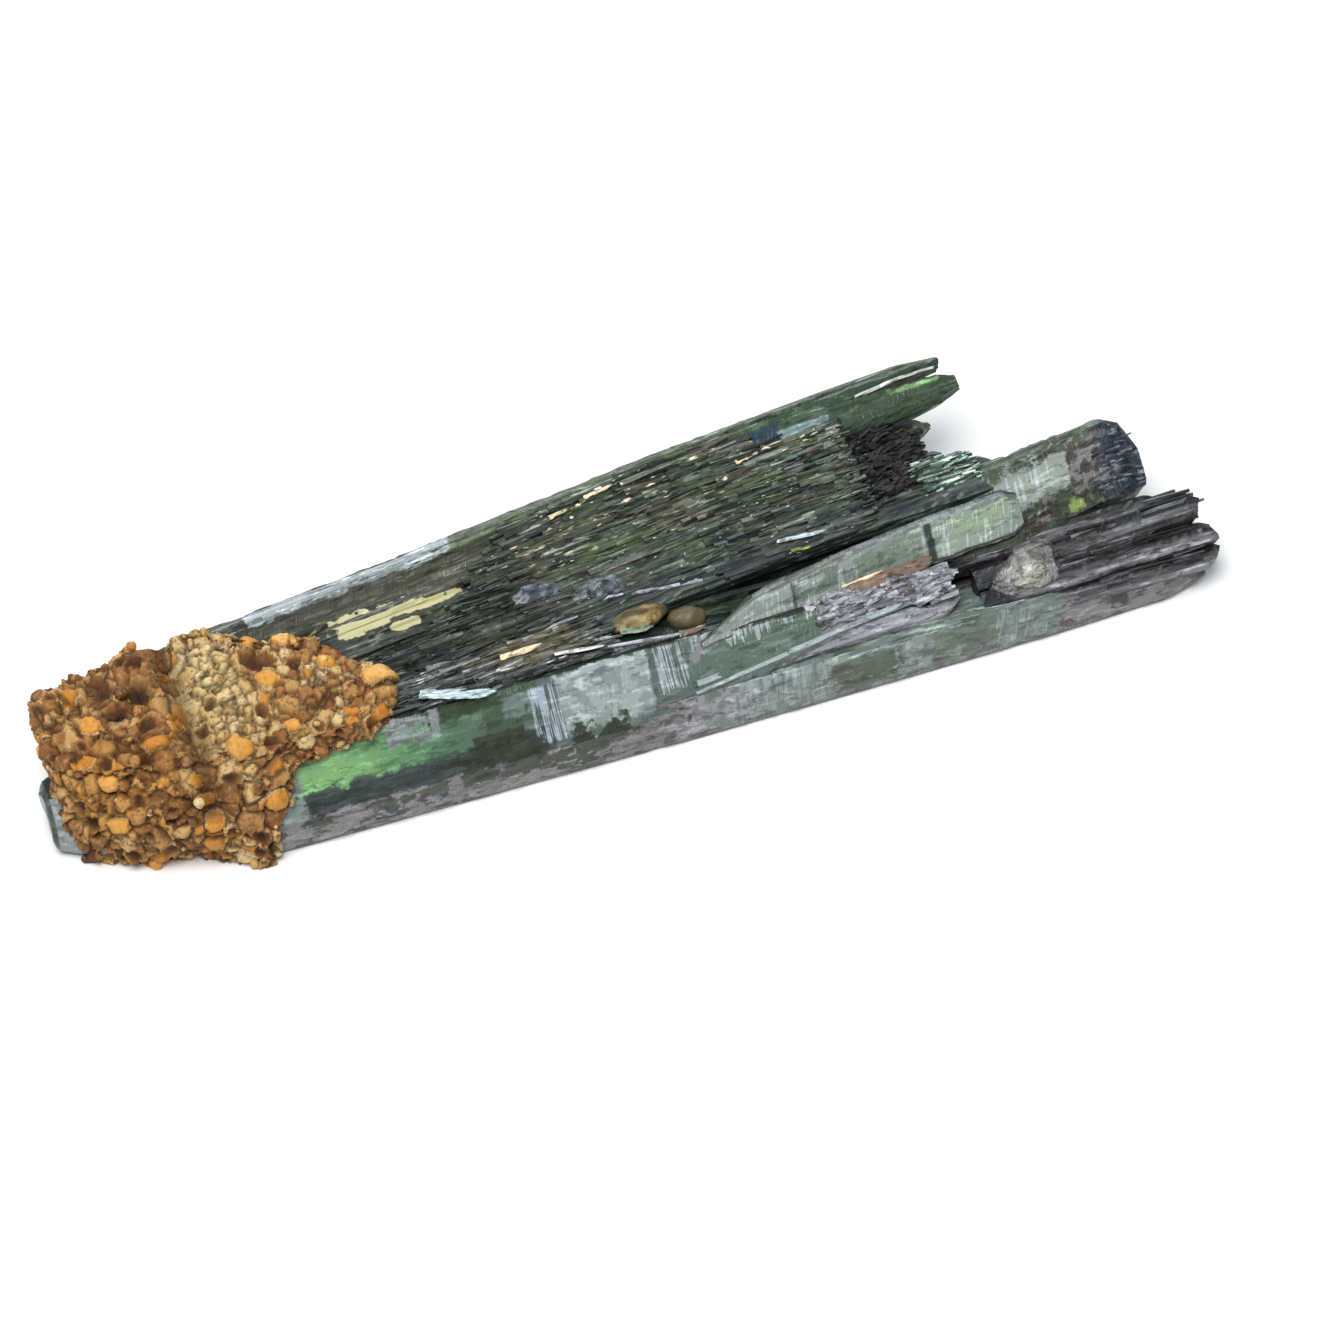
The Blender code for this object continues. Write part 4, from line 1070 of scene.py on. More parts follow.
# Zones of each crystal: start and end along it, low and high across its sides, colour, strength,
# how ragged the edge is in millimetres, and the pattern that the colour comes in.
FRONT_ZONES = [
    (-34.0, 14.0, 3.0, 6.0, BOTTLE, 1.0, 0.1, "plain"),
    (-34.0, -7.0, 2.0, 2.36, (0.035, 0.05, 0.045), 0.95, 0.5, "plain"),
    (-34.0, -7.0, 2.02, 2.3, STEEL, 0.7, 0.8, "streaks"),
    # Painted glow: the window is painted bright green where light shines through the crystal, fading along
    # it.
    (-21.3, -5.6, 2.32, 3.0, WINDOW_GLOW_DEEP, 1.0, 0.8, "fade"),
    (-21.2, -8.6, 2.36, 2.95, WINDOW_GLOW_GREEN, 0.95, 1.0, "fade"),
    (-21.1, -12.4, 2.38, 2.92, (0.17, 0.39, 0.16), 0.95, 1.2, "fade"),
    (-21.0, -15.0, 2.36, 2.74, WINDOW_GLOW_BRIGHT, 1.0, 1.2, "fade"),
    (-19.6, -14.0, 2.36, 2.9, WINDOW_GLOW_BRIGHT, 0.45, 1.2, "flecks"),
    (-13.6, -9.6, 2.8, 3.0, (0.025, 0.05, 0.015), 0.9, 1.0, "plain"),
    (-16.0, -12.9, 2.62, 3.0, (0.25, 0.31, 0.29), 0.8, 1.0, "most"),
    (-16.0, -12.9, 2.66, 3.0, PALE_LILAC, 0.8, 1.0, "comb"),
    (-22.6, -20.9, 2.0, 3.0, (0.3, 0.38, 0.35), 0.85, 1.0, "most"),
    (-11.4, -8.5, 2.06, 2.46, DARK_OLIVE, 0.95, 0.4, "plain"),
    (-10.6, -7.4, 2.46, 3.0, (0.055, 0.1, 0.055), 0.85, 0.8, "plain"),
    (-9.4, -7.9, 2.6, 2.9, (0.2, 0.27, 0.25), 0.85, 0.6, "most"),
    (-7.9, -6.3, 2.12, 2.9, (0.5, 0.58, 0.68), 0.85, 0.25, "comb"),
    # Painted sheen: a pale patch of reflected light on the leaning face.
    (-6.3, -1.2, 2.16, 3.0, SHEEN, 0.9, 0.9, "plain"),
    (-6.3, -1.2, 2.3, 3.0, ICE, 0.6, 0.8, "drips"),
    (-6.3, -1.2, 2.1, 2.9, (0.2, 0.25, 0.24), 0.55, 0.8, "mottle"),
    (-0.8, 0.9, 2.3, 3.0, (0.52, 0.6, 0.65), 0.75, 0.5, "comb"),
    (1.0, 14.0, 2.0, 3.0, (0.13, 0.19, 0.15), 0.9, 0.5, "plain"),
    (1.2, 3.4, 2.6, 3.0, PALE_LILAC, 0.7, 1.0, "mottle"),
    (1.4, 9.8, 2.6, 3.03, ICE, 0.8, 0.8, "drips"),
    # Painted shadow: near-black along the top edge, under the striped blade.
    (2.4, 9.8, 2.94, 3.1, (0.015, 0.024, 0.016), 0.95, 0.3, "plain"),
    (8.4, 14.0, 1.0, 3.0, PALE_LILAC, 0.85, 1.2, "mottle"),
    (-34.0, 0.8, 0.0, 2.02, (0.235, 0.235, 0.24), 1.0, 0.6, "plain"),
    (-34.0, 0.8, 0.0, 2.02, (0.035, 0.045, 0.025), 0.97, 0.6, "blotches"),
    (-34.0, 0.8, 0.0, 2.02, (0.03, 0.035, 0.02), 0.7, 0.8, "streaks"),
    (-34.0, 0.8, 0.9, 2.04, PALE_LILAC, 0.85, 0.8, "flecks"),
    (-34.0, 0.8, 0.9, 1.7, STEEL, 0.6, 0.8, "streaks"),
    (-12.5, -10.4, 1.6, 2.24, DARK_OLIVE, 0.95, 1.4, "most"),
    (-10.0, -7.5, 1.5, 2.18, DARK_OLIVE, 0.95, 1.4, "most"),
    (-6.1, -2.9, 1.6, 2.24, DARK_OLIVE, 0.95, 1.4, "most"),
    (-34.0, -31.4, 0.0, 3.2, (0.33, 0.37, 0.38), 0.85, 0.8, "plain"),
]
KEEL_ZONES = [
    (-8.0, 1.4, 0.0, 2.1, LILAC, 0.9, 1.2, "plain"),
    (-8.0, 2.0, 0.0, 2.0, DARK_OLIVE, 0.8, 0.8, "mottle"),
    (0.2, 4.6, 1.1, 2.05, PALE_LILAC, 0.8, 0.9, "mottle"),
    (2.8, 9.0, 1.0, 2.05, (0.4, 0.46, 0.47), 0.4, 0.8, "comb"),
    (3.4, 9.0, 1.1, 2.06, (0.36, 0.42, 0.44), 0.6, 0.8, "drips"),
    (8.7, 12.8, 1.04, 1.85, (0.06, 0.085, 0.05), 0.95, 0.9, "plain"),
    (12.5, 14.7, 1.1, 1.95, PEARL, 0.8, 1.0, "mottle"),
    (14.6, 18.8, 1.05, 2.0, OLIVE, 0.7, 1.0, "blocks"),
    (18.4, 21.9, 1.1, 2.0, PEARL, 0.85, 1.0, "cross"),
    (22.4, 32.0, 0.0, 6.0, (0.2, 0.195, 0.2), 0.95, 3.6, "plain"),
    (22.4, 32.0, 0.0, 6.0, (0.045, 0.04, 0.035), 0.9, 2.6, "blotches"),
    (22.4, 32.0, 1.0, 2.2, LILAC, 0.8, 2.6, "streaks"),
    (-8.0, 24.0, 0.0, 1.08, MAUVE, 0.85, 0.8, "mottle"),
    (-8.0, 24.0, 0.9, 1.5, PALE_LILAC, 0.6, 1.0, "flecks"),
    # Painted sheen: pale streaks along the top of the upright face.
    (3.0, 21.0, 1.9, 2.6, SHEEN, 0.8, 0.8, "streaks"),
]
STRIPED_ZONES = [
    (1.0, 15.6, 0.1, 1.0, ICE, 0.55, 0.6, "cross"),
    (7.6, 10.4, 0.3, 0.95, SAGE, 0.7, 0.8, "blocks"),
    (11.4, 15.4, 0.12, 0.9, (0.17, 0.22, 0.165), 0.85, 0.8, "plain"),
    (7.5, 7.66, 0.1, 1.0, INK, 0.8, 0.5, "plain"),
    (10.6, 11.3, 0.1, 1.0, BAND, 0.6, 0.5, "cross"),
    (15.7, 16.15, 0.05, 1.0, BOTTLE, 0.9, 0.5, "plain"),
    (16.2, 21.6, 0.1, 1.0, (0.3, 0.36, 0.31), 0.9, 0.6, "plain"),
    (17.4, 20.8, 0.5, 0.95, (0.3, 0.4, 0.25), 0.7, 1.4, "most"),
    (16.2, 21.6, 0.1, 1.0, (0.5, 0.6, 0.52), 0.8, 0.6, "cross"),
    (1.0, 22.0, 1.0, 1.4, OLIVE, 0.6, 0.4, "plain"),
    (1.0, 22.0, 1.4, 4.0, BOTTLE, 0.9, 0.5, "plain"),
    # Painted shadow: near-black along the lower edge, in the gap under the blade.
    (2.0, 22.0, 0.0, 0.09, INK, 0.8, 0.4, "plain"),
]
BLUNT_ZONES = [
    (16.0, 21.6, 0.3, 1.0, (0.2, 0.27, 0.15), 0.85, 1.0, "cross"),
    (20.5, 28.2, 0.78, 1.6, OLIVE, 0.85, 0.8, "plain"),
    (20.5, 28.2, 0.85, 1.6, UMBER, 0.8, 0.8, "streaks"),
    (21.0, 28.0, 0.8, 1.1, PEARL, 0.7, 0.8, "flecks"),
    (20.6, 25.8, 0.4, 0.84, (0.33, 0.38, 0.34), 0.95, 0.9, "plain"),
    (20.6, 25.8, 0.46, 0.84, ICE, 0.85, 0.9, "cross"),
    (20.6, 27.0, 0.2, 0.5, (0.33, 0.36, 0.36), 0.85, 0.9, "blocks"),
    (25.0, 28.2, 0.3, 0.9, LILAC, 0.95, 1.0, "plain"),
    (25.0, 28.2, 0.2, 0.9, UMBER, 0.8, 1.0, "mottle"),
    (27.2, 30.0, 0.0, 3.0, (0.02, 0.032, 0.05), 0.9, 2.4, "plain"),
    (26.6, 30.0, 0.0, 2.0, STEEL, 0.9, 2.0, "flecks"),
    (26.6, 30.0, 0.0, 2.0, PALE_LILAC, 0.7, 2.0, "streaks"),
    (21.0, 27.0, 0.0, 0.36, UMBER, 0.85, 1.0, "mottle"),
    (21.0, 28.0, 0.1, 0.5, LILAC, 0.7, 1.0, "flecks"),
    (24.3, 25.3, 0.02, 0.2, (0.26, 0.37, 0.1), 0.8, 0.9, "plain"),
]
UPPER_RIM_ZONES = [
    (-34.0, -9.0, 0.0, 0.9, (0.07, 0.06, 0.04), 0.8, 1.2, "streaks"),
    # Painted highlight: the left part of the crest is painted pale sheen with blue-white streaks, where it
    # catches the light.
    (-34.0, -7.0, 0.8, 1.5, SHEEN, 0.95, 0.8, "streaks"),
    (-21.0, -7.0, 0.8, 1.8, (0.56, 0.66, 0.69), 1.0, 1.2, "along"),
    (-20.0, -8.0, 0.5, 1.0, SHEEN, 0.7, 1.0, "streaks"),
    (-20.0, -12.0, 0.2, 0.9, (0.05, 0.05, 0.04), 0.8, 1.2, "along"),
    (-9.0, 21.5, 0.6, 4.0, (0.06, 0.08, 0.04), 0.95, 1.4, "plain"),
    (-9.0, 9.0, 0.0, 2.0, (0.15, 0.19, 0.12), 0.85, 1.4, "streaks"),
    # Painted highlight: a pale line along the crest.
    (3.0, 7.4, 1.0, 1.5, (0.7, 0.72, 0.66), 0.9, 0.8, "streaks"),
    (9.0, 21.5, 0.0, 1.1, (0.045, 0.085, 0.05), 0.9, 1.5, "plain"),
    (9.0, 21.5, 0.3, 1.4, PEARL, 0.8, 1.5, "streaks"),
    # Painted light: near-white along the slit between the tips, where light shows through.
    (15.6, 20.6, 0.0, 0.28, (0.75, 0.8, 0.72), 0.95, 0.4, "plain"),
]
LOWER_RIM_ZONES = [
    (-26.0, -4.0, 0.3, 3.0, (0.075, 0.07, 0.05), 0.9, 1.0, "along"),
    (-26.0, -4.0, 0.3, 3.0, (0.15, 0.16, 0.14), 0.9, 1.0, "streaks"),
    (9.5, 21.6, 0.0, 3.0, (0.04, 0.075, 0.04), 0.9, 1.5, "plain"),
    (5.6, 10.8, 0.5, 2.4, (0.015, 0.05, 0.075), 0.95, 1.0, "plain"),
    (6.0, 10.4, 0.6, 2.4, (0.02, 0.08, 0.13), 0.8, 1.0, "streaks"),
    (10.7, 13.7, 0.5, 1.7, (0.25, 0.36, 0.38), 0.9, 0.9, "plain"),
    (10.7, 13.7, 0.5, 1.7, (0.1, 0.16, 0.16), 0.8, 0.9, "streaks"),
    (14.0, 21.0, 0.2, 2.0, BOTTLE, 0.9, 1.5, "streaks"),
    (15.0, 20.8, 1.2, 1.95, (0.08, 0.15, 0.07), 0.7, 1.6, "streaks"),
    # Painted glow: bright green where light shines through the tips.
    (17.4, 20.7, 1.66, 1.95, RIM_GLOW_GREEN, 0.9, 1.2, "along"),
    (17.8, 20.5, 1.72, 1.9, (0.36, 0.6, 0.3), 0.8, 1.0, "along"),
]

# Patches of cream film on the spray: centre and half sizes, and how their edges are.
CREAM_PATCHES = [
    ((-11.9, 5.8, 6.0), (2.6, 0.5, 1.4)),
    ((-15.1, 5.5, 6.1), (1.7, 0.7, 1.4)),
    ((-12.8, 4.6, 6.1), (0.8, 0.3, 1.2)),
]
CREAM_EDGE = (0.5, 1.9, 0.08)

# Ragged spots: centre, half sizes, how ragged, how fine and how soft the edge is.
RUST_SPOT = ((14.2, -0.9, 4.9), (2.2, 0.9, 0.8), 0.5, 1.6, 0.2)
STEP_SPOT = ((15.6, 8.0, 5.2), (2.3, 2.8, 2.4), 0.3, 0.8, 0.3)
GLOW_SPOT = ((-6.9, 1.2, 5.4), (2.7, 0.9, 0.8), 0.8, 1.0, 0.4)
# HOLLOW_SHADE_SPOT marks painted shade: the hollow beside the rounded break is painted near-black.
HOLLOW_SHADE_SPOT = ((18.2, -1.8, 3.0), (1.9, 1.5, 1.6), 0.4, 1.0, 0.3)
GOLDEN_SPOT = ((-30.4, -0.2, 4.8), (3.2, 2.6, 2.2), 0.5, 0.7, 0.4)
PALE_SPOT = ((-24.0, 3.2, 6.8), (2.0, 3.6, 1.8), 0.4, 0.9, 0.4)
# AMBER_LIT_SPOT is the painted highlight on the amber grain's top; away from it the grain is painted darker.
AMBER_LIT_SPOT = ((-0.7, 1.2, 5.6), (1.5, 0.75, 0.75), 0.3, 1.0, 0.5)

# Where the rings of the rounded break have their middle, which is also the middle of its painted light, and
# how many there are.
RING_MIDDLE = (20.9, -1.7, 3.7)
RING_CROWDING = 14.0

# How far a zone that fades keeps its full colour, as a share of its length, and how coarse the
# grain of a broken end is beside its lines.
FADE_START = 0.25
BREAK_GRAIN = 14.0


def crystal_finish(name, low, high, zones, lines_wide=8.0, crowding=4.0, block=(3.0, 3.0), lean=0.0,
                   roughness=0.22, transmission=0.1, coat=0.2, light=0.5, dark=0.4, shine=0.5,
                   smooth_above=9.0):
    """Glassy crystal: striations and cleavage blocks, with its zones painted over them."""
    f = Finish(name, roughness, ior=1.55, transmission=transmission, coat=coat, coat_roughness=0.12)
    f.give("Specular IOR Level", shine)
    along, side = f.grown()
    here = {"Along": along, "Side": side}
    wander, sway = f.wander(1.1, 0.0), f.wander(1.3, 40.0)
    lines = f.group("striations", **here, Lines=lines_wide, Length=8.0)
    cross = f.group("cross_lines", **here, Crowding=crowding, Slant=-0.35, Share=0.5)
    blocks = f.group("blocks", **here, Wander=wander, Length=block[0], Rows=block[1])
    mottle = f.mottle(1.5, 0.5, 0.02)
    patterns = {
        "plain": 1.0,
        "along": f.plus(f.times(lines, 0.8), 0.2),
        "cross": cross,
        "comb": f.group("cross_lines", **here, Crowding=crowding * 2.0, Slant=0.1, Share=0.95),
        "blocks": f.spread(blocks, 0.3, 0.5),
        "mottle": mottle,
        "blotches": f.mottle(0.9, 0.48, 0.015, f.vector("MULTIPLY", f.place, (0.5, 1.0, 1.0))),
        "most": f.mottle(1.2, 0.72, 0.02),
        "flecks": f.group("flecks", Place=f.place, Lean=lean, Long=1.1, Fine=2.6)["Light"],
        "streaks": f.group("flecks", Place=f.place, Lean=lean, Long=0.28, Fine=3.6)["Light"],
    }
    colour = f.mix(f.plus(f.times(blocks, 0.5), f.times(lines, 0.5)), low, high)
    for start, end, below, above, paint, strength, ragged, pattern in zones:
        mask = f.group("zone", **here, Wander=wander, Sway=sway, Start=start, End=end,
                       Low=below, High=above, Ragged=ragged)
        if pattern == "drips":
            share = f.group("drips", **here, Low=below, High=above, Crowding=crowding * 0.5)
        elif pattern == "fade":
            share = f.spread(along, start + FADE_START * (end - start), end, 1.0, 0.0)
        else:
            share = patterns[pattern]
        colour = f.over(colour, paint, mask, strength, share)
    colour = f.flecked(colour, lean, 0.7, 2.6, light, dark)
    stain = f.spread(f.noise(f.place, 2.4, 4.0), 0.36, 0.5)
    colour = f.over(colour, RUST, f.patch(*RUST_SPOT), 0.85, stain)
    broken = f.value("broken")
    fresh = f.ramp(f.noise(f.place, 1.5, 5.0, 0.6), [(0.35, INK), (0.48, BAND), (0.6, STEEL), (0.72, LILAC)])
    colour = f.mix(broken, colour, fresh)
    rough = f.spread(f.plus(cross, mottle), 0.0, 2.0, roughness, roughness + 0.25)
    whole = f.spread(broken, 0.0, 1.0, 1.0, 0.0)
    lined = f.spread(side, smooth_above, smooth_above + 0.03, 1.0, 0.0)
    height = f.times(f.plus(lines, f.plus(cross, blocks)), whole, lined)
    grain = f.times(broken, f.noise(f.place, 2.2, 5.0, 0.7), BREAK_GRAIN)
    return f.finish(colour, rough, f.plus(height, grain), 0.012)


def fibre_finish(name, stops, lean=0.13, light=1.5, dark=0.6, roughness=0.35, coat=0.2, fade="LINEAR"):
    """Fibres and laths: each with its own shade, in streaks along the fan, broken up by flecks."""
    f = Finish(name, roughness, ior=1.5, coat=coat, coat_roughness=0.2)
    fan = f.xyz(f.times(f.x, 0.3), f.times(f.across(lean), 4.0), f.times(f.z, 4.0))
    lines = f.spread(f.noise(fan, 1.0, 4.0, 0.65), 0.36, 0.68)
    patches = f.spread(f.noise(fan, 0.33, 2.0), 0.35, 0.65)
    shade = f.plus(f.times(f.value("tint"), 0.5), f.plus(f.times(lines, 0.3), f.times(patches, 0.2)))
    colour = f.flecked(f.ramp(shade, stops, fade), lean, 0.9, 3.2, light, dark)
    return f, colour, lines


def plain_fibre_finish(name, stops, **how):
    """Fibres as they are."""
    f, colour, lines = fibre_finish(name, stops, **how)
    return f.finish(colour, None, lines, 0.02)


def filmed(f, colour):
    """A colour with the patches of cream film over it."""
    for centre, half in CREAM_PATCHES:
        colour = f.over(colour, CREAM, f.patch(centre, half, *CREAM_EDGE))
    return colour


def spray_finish():
    """The spray: bottle green and moss, bluer near the cleft, with painted gold glints near the rim."""
    f, colour, lines = fibre_finish("dark_spray", [
        (0.2, INK), (0.38, BOTTLE), (0.55, (0.042, 0.056, 0.036)), (0.72, (0.1, 0.12, 0.085)),
        (0.9, (0.22, 0.25, 0.22))], light=1.8, dark=0.7)
    drift = f.vector("MULTIPLY", f.place, (0.35, 1.1, 1.0))
    green = f.spread(f.noise(drift, 0.7, 5.0, 0.65), 0.5, 0.6)
    colour = f.over(colour, f.mix(lines, (0.02, 0.035, 0.012), (0.13, 0.17, 0.07)), green, 0.6)
    brown = f.spread(f.noise(f.vector("ADD", drift, (31.0, 4.0, 2.0)), 0.8, 5.0, 0.65), 0.52, 0.62)
    colour = f.over(colour, f.mix(lines, (0.02, 0.014, 0.01), (0.14, 0.11, 0.09)), brown, 0.6)
    low_side = f.spread(f.across(0.12), 2.0, 4.2, 1.0, 0.0)
    colour = f.over(colour, f.mix(lines, (0.01, 0.018, 0.024), (0.08, 0.095, 0.11)), low_side, 0.5)
    across = f.across(0.14)
    back_side = f.spread(across, 5.2, 7.6)
    spot = f.xyz(f.times(f.x, 0.55), f.times(across, 1.7), f.times(f.z, 1.7))
    crowd = f.spread(f.noise(f.place, 0.35, 2.0), 0.4, 0.6)
    # Painted glints: gold and white specks near the rim, pale green ones all over.
    glint_colour = f.mix(f.noise(spot, 2.0, 1.0), GLINT_GOLD, (0.95, 0.9, 0.8))
    colour = f.over(colour, glint_colour, f.glints(spot, 2.6, 0.3, 0.4), back_side, crowd)
    colour = f.over(colour, glint_colour, f.glints(spot, 1.3, 0.24, 0.12), back_side)
    colour = f.over(colour, (0.6, 0.7, 0.62), f.glints(spot, 3.4, 0.22, 0.14))
    colour = f.over(colour, (0.008, 0.007, 0.006), f.patch(*STEP_SPOT), 0.8)
    colour = f.scaled(colour, f.spread(f.x, -8.5, -2.0, 0.45, 1.15))
    return f.finish(filmed(f, colour), None, lines, 0.02)


def core_finish(name, stops):
    """The body under the spray."""
    f, colour, lines = fibre_finish(name, stops)
    return f.finish(filmed(f, colour), None, lines, 0.02)


def cleft_finish(name, stops, **how):
    """The cleft: dark fibres with lilac slivers, and an olive glow in the middle."""
    f, colour, lines = fibre_finish(name, stops, **how)
    olive = f.mix(lines, (0.04, 0.04, 0.015), (0.26, 0.23, 0.12))
    return f.finish(f.over(colour, olive, f.patch(*GLOW_SPOT), 0.7), None, lines, 0.02)


def bundle_finish():
    """The bundle of square rods: lilac-grey tops, and sides painted near-black as painted shade in the
    grooves between them.
    """
    f, colour, lines = fibre_finish("plum_bundle", [
        (0.25, (0.012, 0.012, 0.012)), (0.42, (0.04, 0.04, 0.042)), (0.58, (0.1, 0.1, 0.108)),
        (0.76, (0.18, 0.18, 0.195)), (0.93, (0.28, 0.28, 0.3))], lean=0.0, light=1.0, dark=0.7)
    side = f.grown()[1]
    # Painted shade: only the rods' tops keep their colour; their sides, down into the grooves, are painted
    # near-black.
    top = f.times(f.spread(side, 0.4, 0.9), f.spread(side, 1.6, 2.0, 1.0, 0.0))
    colour = f.mix(top, (0.01, 0.011, 0.011), colour)
    # Painted shade in the hollow beside the rounded break.
    return f.finish(f.over(colour, (0.006, 0.008, 0.012), f.patch(*HOLLOW_SHADE_SPOT)), None, lines, 0.03)


def boss_finish():
    """The rounded break: painted pale in the middle and darker outwards, painted light and shade on its
    dome, with rings in its bump.
    """
    f = Finish("ringed_break", 0.45, ior=1.5)
    away = f.add("ShaderNodeVectorMath", {0: f.place, 1: RING_MIDDLE}, operation="DISTANCE").outputs["Value"]
    ring = f.plus(away, f.times(f.wander(0.9, 0.0), 2.2))
    # Painted light and shade: pale on the middle of the dome, darker towards its edges.
    colour = f.ramp(f.spread(ring, 0.0, 2.4), [
        (0.12, (0.42, 0.43, 0.37)), (0.36, (0.31, 0.31, 0.29)), (0.6, (0.27, 0.265, 0.275)),
        (0.86, (0.2, 0.195, 0.2))])
    colour = f.over(colour, UMBER, f.mottle(1.4, 0.45, 0.05), 0.6)
    colour = f.flecked(colour, 0.1, 0.8, 2.4, 0.7, 0.6)
    return f.finish(colour, None, f.math("SINE", f.times(ring, RING_CROWDING)), 0.03)


def lump_finish():
    """Blue-grey broken crystal, darker in random patches, with pale specks painted as glints."""
    f = Finish("blue_grey_break", 0.35, ior=1.5, coat=0.2)
    pick = f.cells(f.place, 1.7)[0]
    colour = f.ramp(f.plus(f.times(pick, 0.6), f.times(f.noise(f.place, 2.0, 5.0), 0.5)), [
        (0.25, NAVY), (0.45, (0.06, 0.075, 0.09)), (0.65, (0.1, 0.115, 0.135)), (0.85, (0.19, 0.21, 0.23))])
    colour = f.flecked(colour, 0.1, 1.6, 2.6, 0.6, 0.7)
    colour = f.over(colour, CREAM, f.glints(f.place, 3.0, 0.2, 0.2))
    return f.finish(colour, None, f.noise(f.place, 2.0, 4.0), 0.06)


def stony(f, tint):
    """The crust's colour from a shade between 0 and 1, broken up by fine dark grime."""
    colour = f.ramp(tint, [
        (0.0, PIT_SHADE_BROWN), (0.14, BURNT), (0.3, HAZEL), (0.44, OCHRE), (0.58, BUFF), (0.7, PALE_BUFF),
        (0.78, ORANGE), (0.9, BRIGHT_ORANGE), (1.0, (0.8, 0.46, 0.14))])
    colour = f.over(colour, (0.6, 0.27, 0.04), f.patch(*GOLDEN_SPOT), 0.3)
    colour = f.over(colour, (0.7, 0.56, 0.24), f.patch(*PALE_SPOT), 0.35)
    grime = f.spread(f.noise(f.place, 2.4, 6.0, 0.8), 0.49, 0.61)
    dull = f.spread(tint, 0.72, 0.78, 0.8, 0.4)
    colour = f.over(colour, (0.14, 0.055, 0.016), grime, dull)
    return f.over(colour, BUFF, f.mottle(3.0, 0.34, 0.05), dull, 0.3)


def cement_finish():
    """Iron-oxide cement with grains set in it, with painted shade in its sockets, pits, groove and seams."""
    f = Finish("ochre_cement", 0.75, ior=1.4)
    colour = f.over(stony(f, f.value("tint")), PIT_SHADE_BROWN, f.value("painted_shade"))
    gloss = f.spread(f.value("tint"), 0.74, 0.84, 0.78, 0.36)
    return f.finish(colour, gloss, f.noise(f.place, 6.0, 5.0, 0.7), 0.06)


def oolite_finish():
    """Round grains, each with its own shade, some with a waxy skin."""
    f = Finish("oolite", 0.5, ior=1.45, coat=0.2, coat_roughness=0.3)
    return f.finish(stony(f, f.value("tint")), None, f.noise(f.place, 6.0, 4.0, 0.6), 0.05)


def amber_finish():
    """Waxy amber-brown grain, painted paler on its top and darker away from it: painted highlight and shade.
    """
    f = Finish("amber", 0.5, ior=1.45, transmission=0.2, coat=0.1, coat_roughness=0.4)
    stretched = f.vector("MULTIPLY", f.place, (0.5, 1.2, 1.2))
    colour = f.ramp(f.noise(stretched, 0.9, 4.0, 0.6), [
        (0.35, (0.08, 0.055, 0.02)), (0.43, (0.25, 0.17, 0.06)), (0.52, AMBER), (0.66, (0.75, 0.58, 0.3))])
    # Painted highlight and shade: the grain keeps its pale colours in the lit spot and is painted dark away
    # from it.
    middle = f.patch(*AMBER_LIT_SPOT)
    colour = f.over(colour, (0.07, 0.06, 0.02), f.spread(middle, 0.0, 1.0, 0.85, 0.0))
    colour = f.over(colour, (0.12, 0.08, 0.03), f.mottle(2.4, 0.2, 0.08))
    colour = f.over(colour, (0.15, 0.11, 0.055), f.spread(f.x, 0.6, 1.1, 0.0, 0.8))
    return f.finish(colour, None, f.noise(f.place, 3.0, 4.0), 0.05)


def chip_finish(name, stops, roughness):
    """Bright chips of crystal, each in its own shade."""
    f = Finish(name, roughness, ior=1.6, coat=0.3)
    colour = f.ramp(f.value("tint"), stops, "CONSTANT")
    colour = f.flecked(colour, 0.1, 1.0, 2.6, 0.6, 0.7)
    colour = f.over(colour, STEEL, f.spread(f.noise(f.place, 2.5, 3.0), 0.45, 0.7, 0.0, 0.4))
    return f.finish(colour, None, f.noise(f.place, 3.0, 3.0), 0.02)


# The darker and the lighter ground of the two rim crystals.
RIM_DARK = (0.03, 0.036, 0.022)
RIM_LIGHT = (0.065, 0.07, 0.045)

FRONT = crystal_finish(
    "front_glass", SAGE, GREY_GREEN, FRONT_ZONES, lines_wide=7.0, crowding=5.0, block=(2.4, 4.0),
    roughness=0.18, transmission=0.25)
KEEL = crystal_finish(
    "keel_pearl", (0.12, 0.165, 0.13), (0.17, 0.21, 0.2), KEEL_ZONES, lines_wide=6.0, crowding=5.0,
    block=(2.2, 3.0), light=0.6, dark=0.5)
STRIPED = crystal_finish(
    "striped_pearl", (0.2, 0.24, 0.21), (0.33, 0.37, 0.36), STRIPED_ZONES, lines_wide=3.0, crowding=5.5,
    block=(1.6, 2.0), lean=0.14, coat=0.0, shine=0.3, smooth_above=0.95)
BLUNT = crystal_finish("blunt_olive", DARK_OLIVE, SAGE, BLUNT_ZONES, lean=0.12, coat=0.0, shine=0.3)
UPPER_RIM = crystal_finish(
    "upper_rim_glass", RIM_DARK, RIM_LIGHT, UPPER_RIM_ZONES, lines_wide=5.0, lean=0.14, coat=0.0,
    shine=0.25, roughness=0.4, light=1.2, dark=0.6)
LOWER_RIM = crystal_finish(
    "lower_rim_glass", RIM_DARK, RIM_LIGHT, LOWER_RIM_ZONES, lines_wide=5.0, lean=0.12, roughness=0.25,
    light=0.8)
FLAKE = crystal_finish(
    "flake_pearl", (0.22, 0.23, 0.25), (0.42, 0.43, 0.47), [], lines_wide=2.0, block=(1.2, 1.0),
    light=0.6, dark=0.6)
SPLINTERS = crystal_finish(
    "splinter_pearl", PEARL, ICE, [], lines_wide=2.0, block=(2.4, 1.0), light=0.4, dark=0.5)
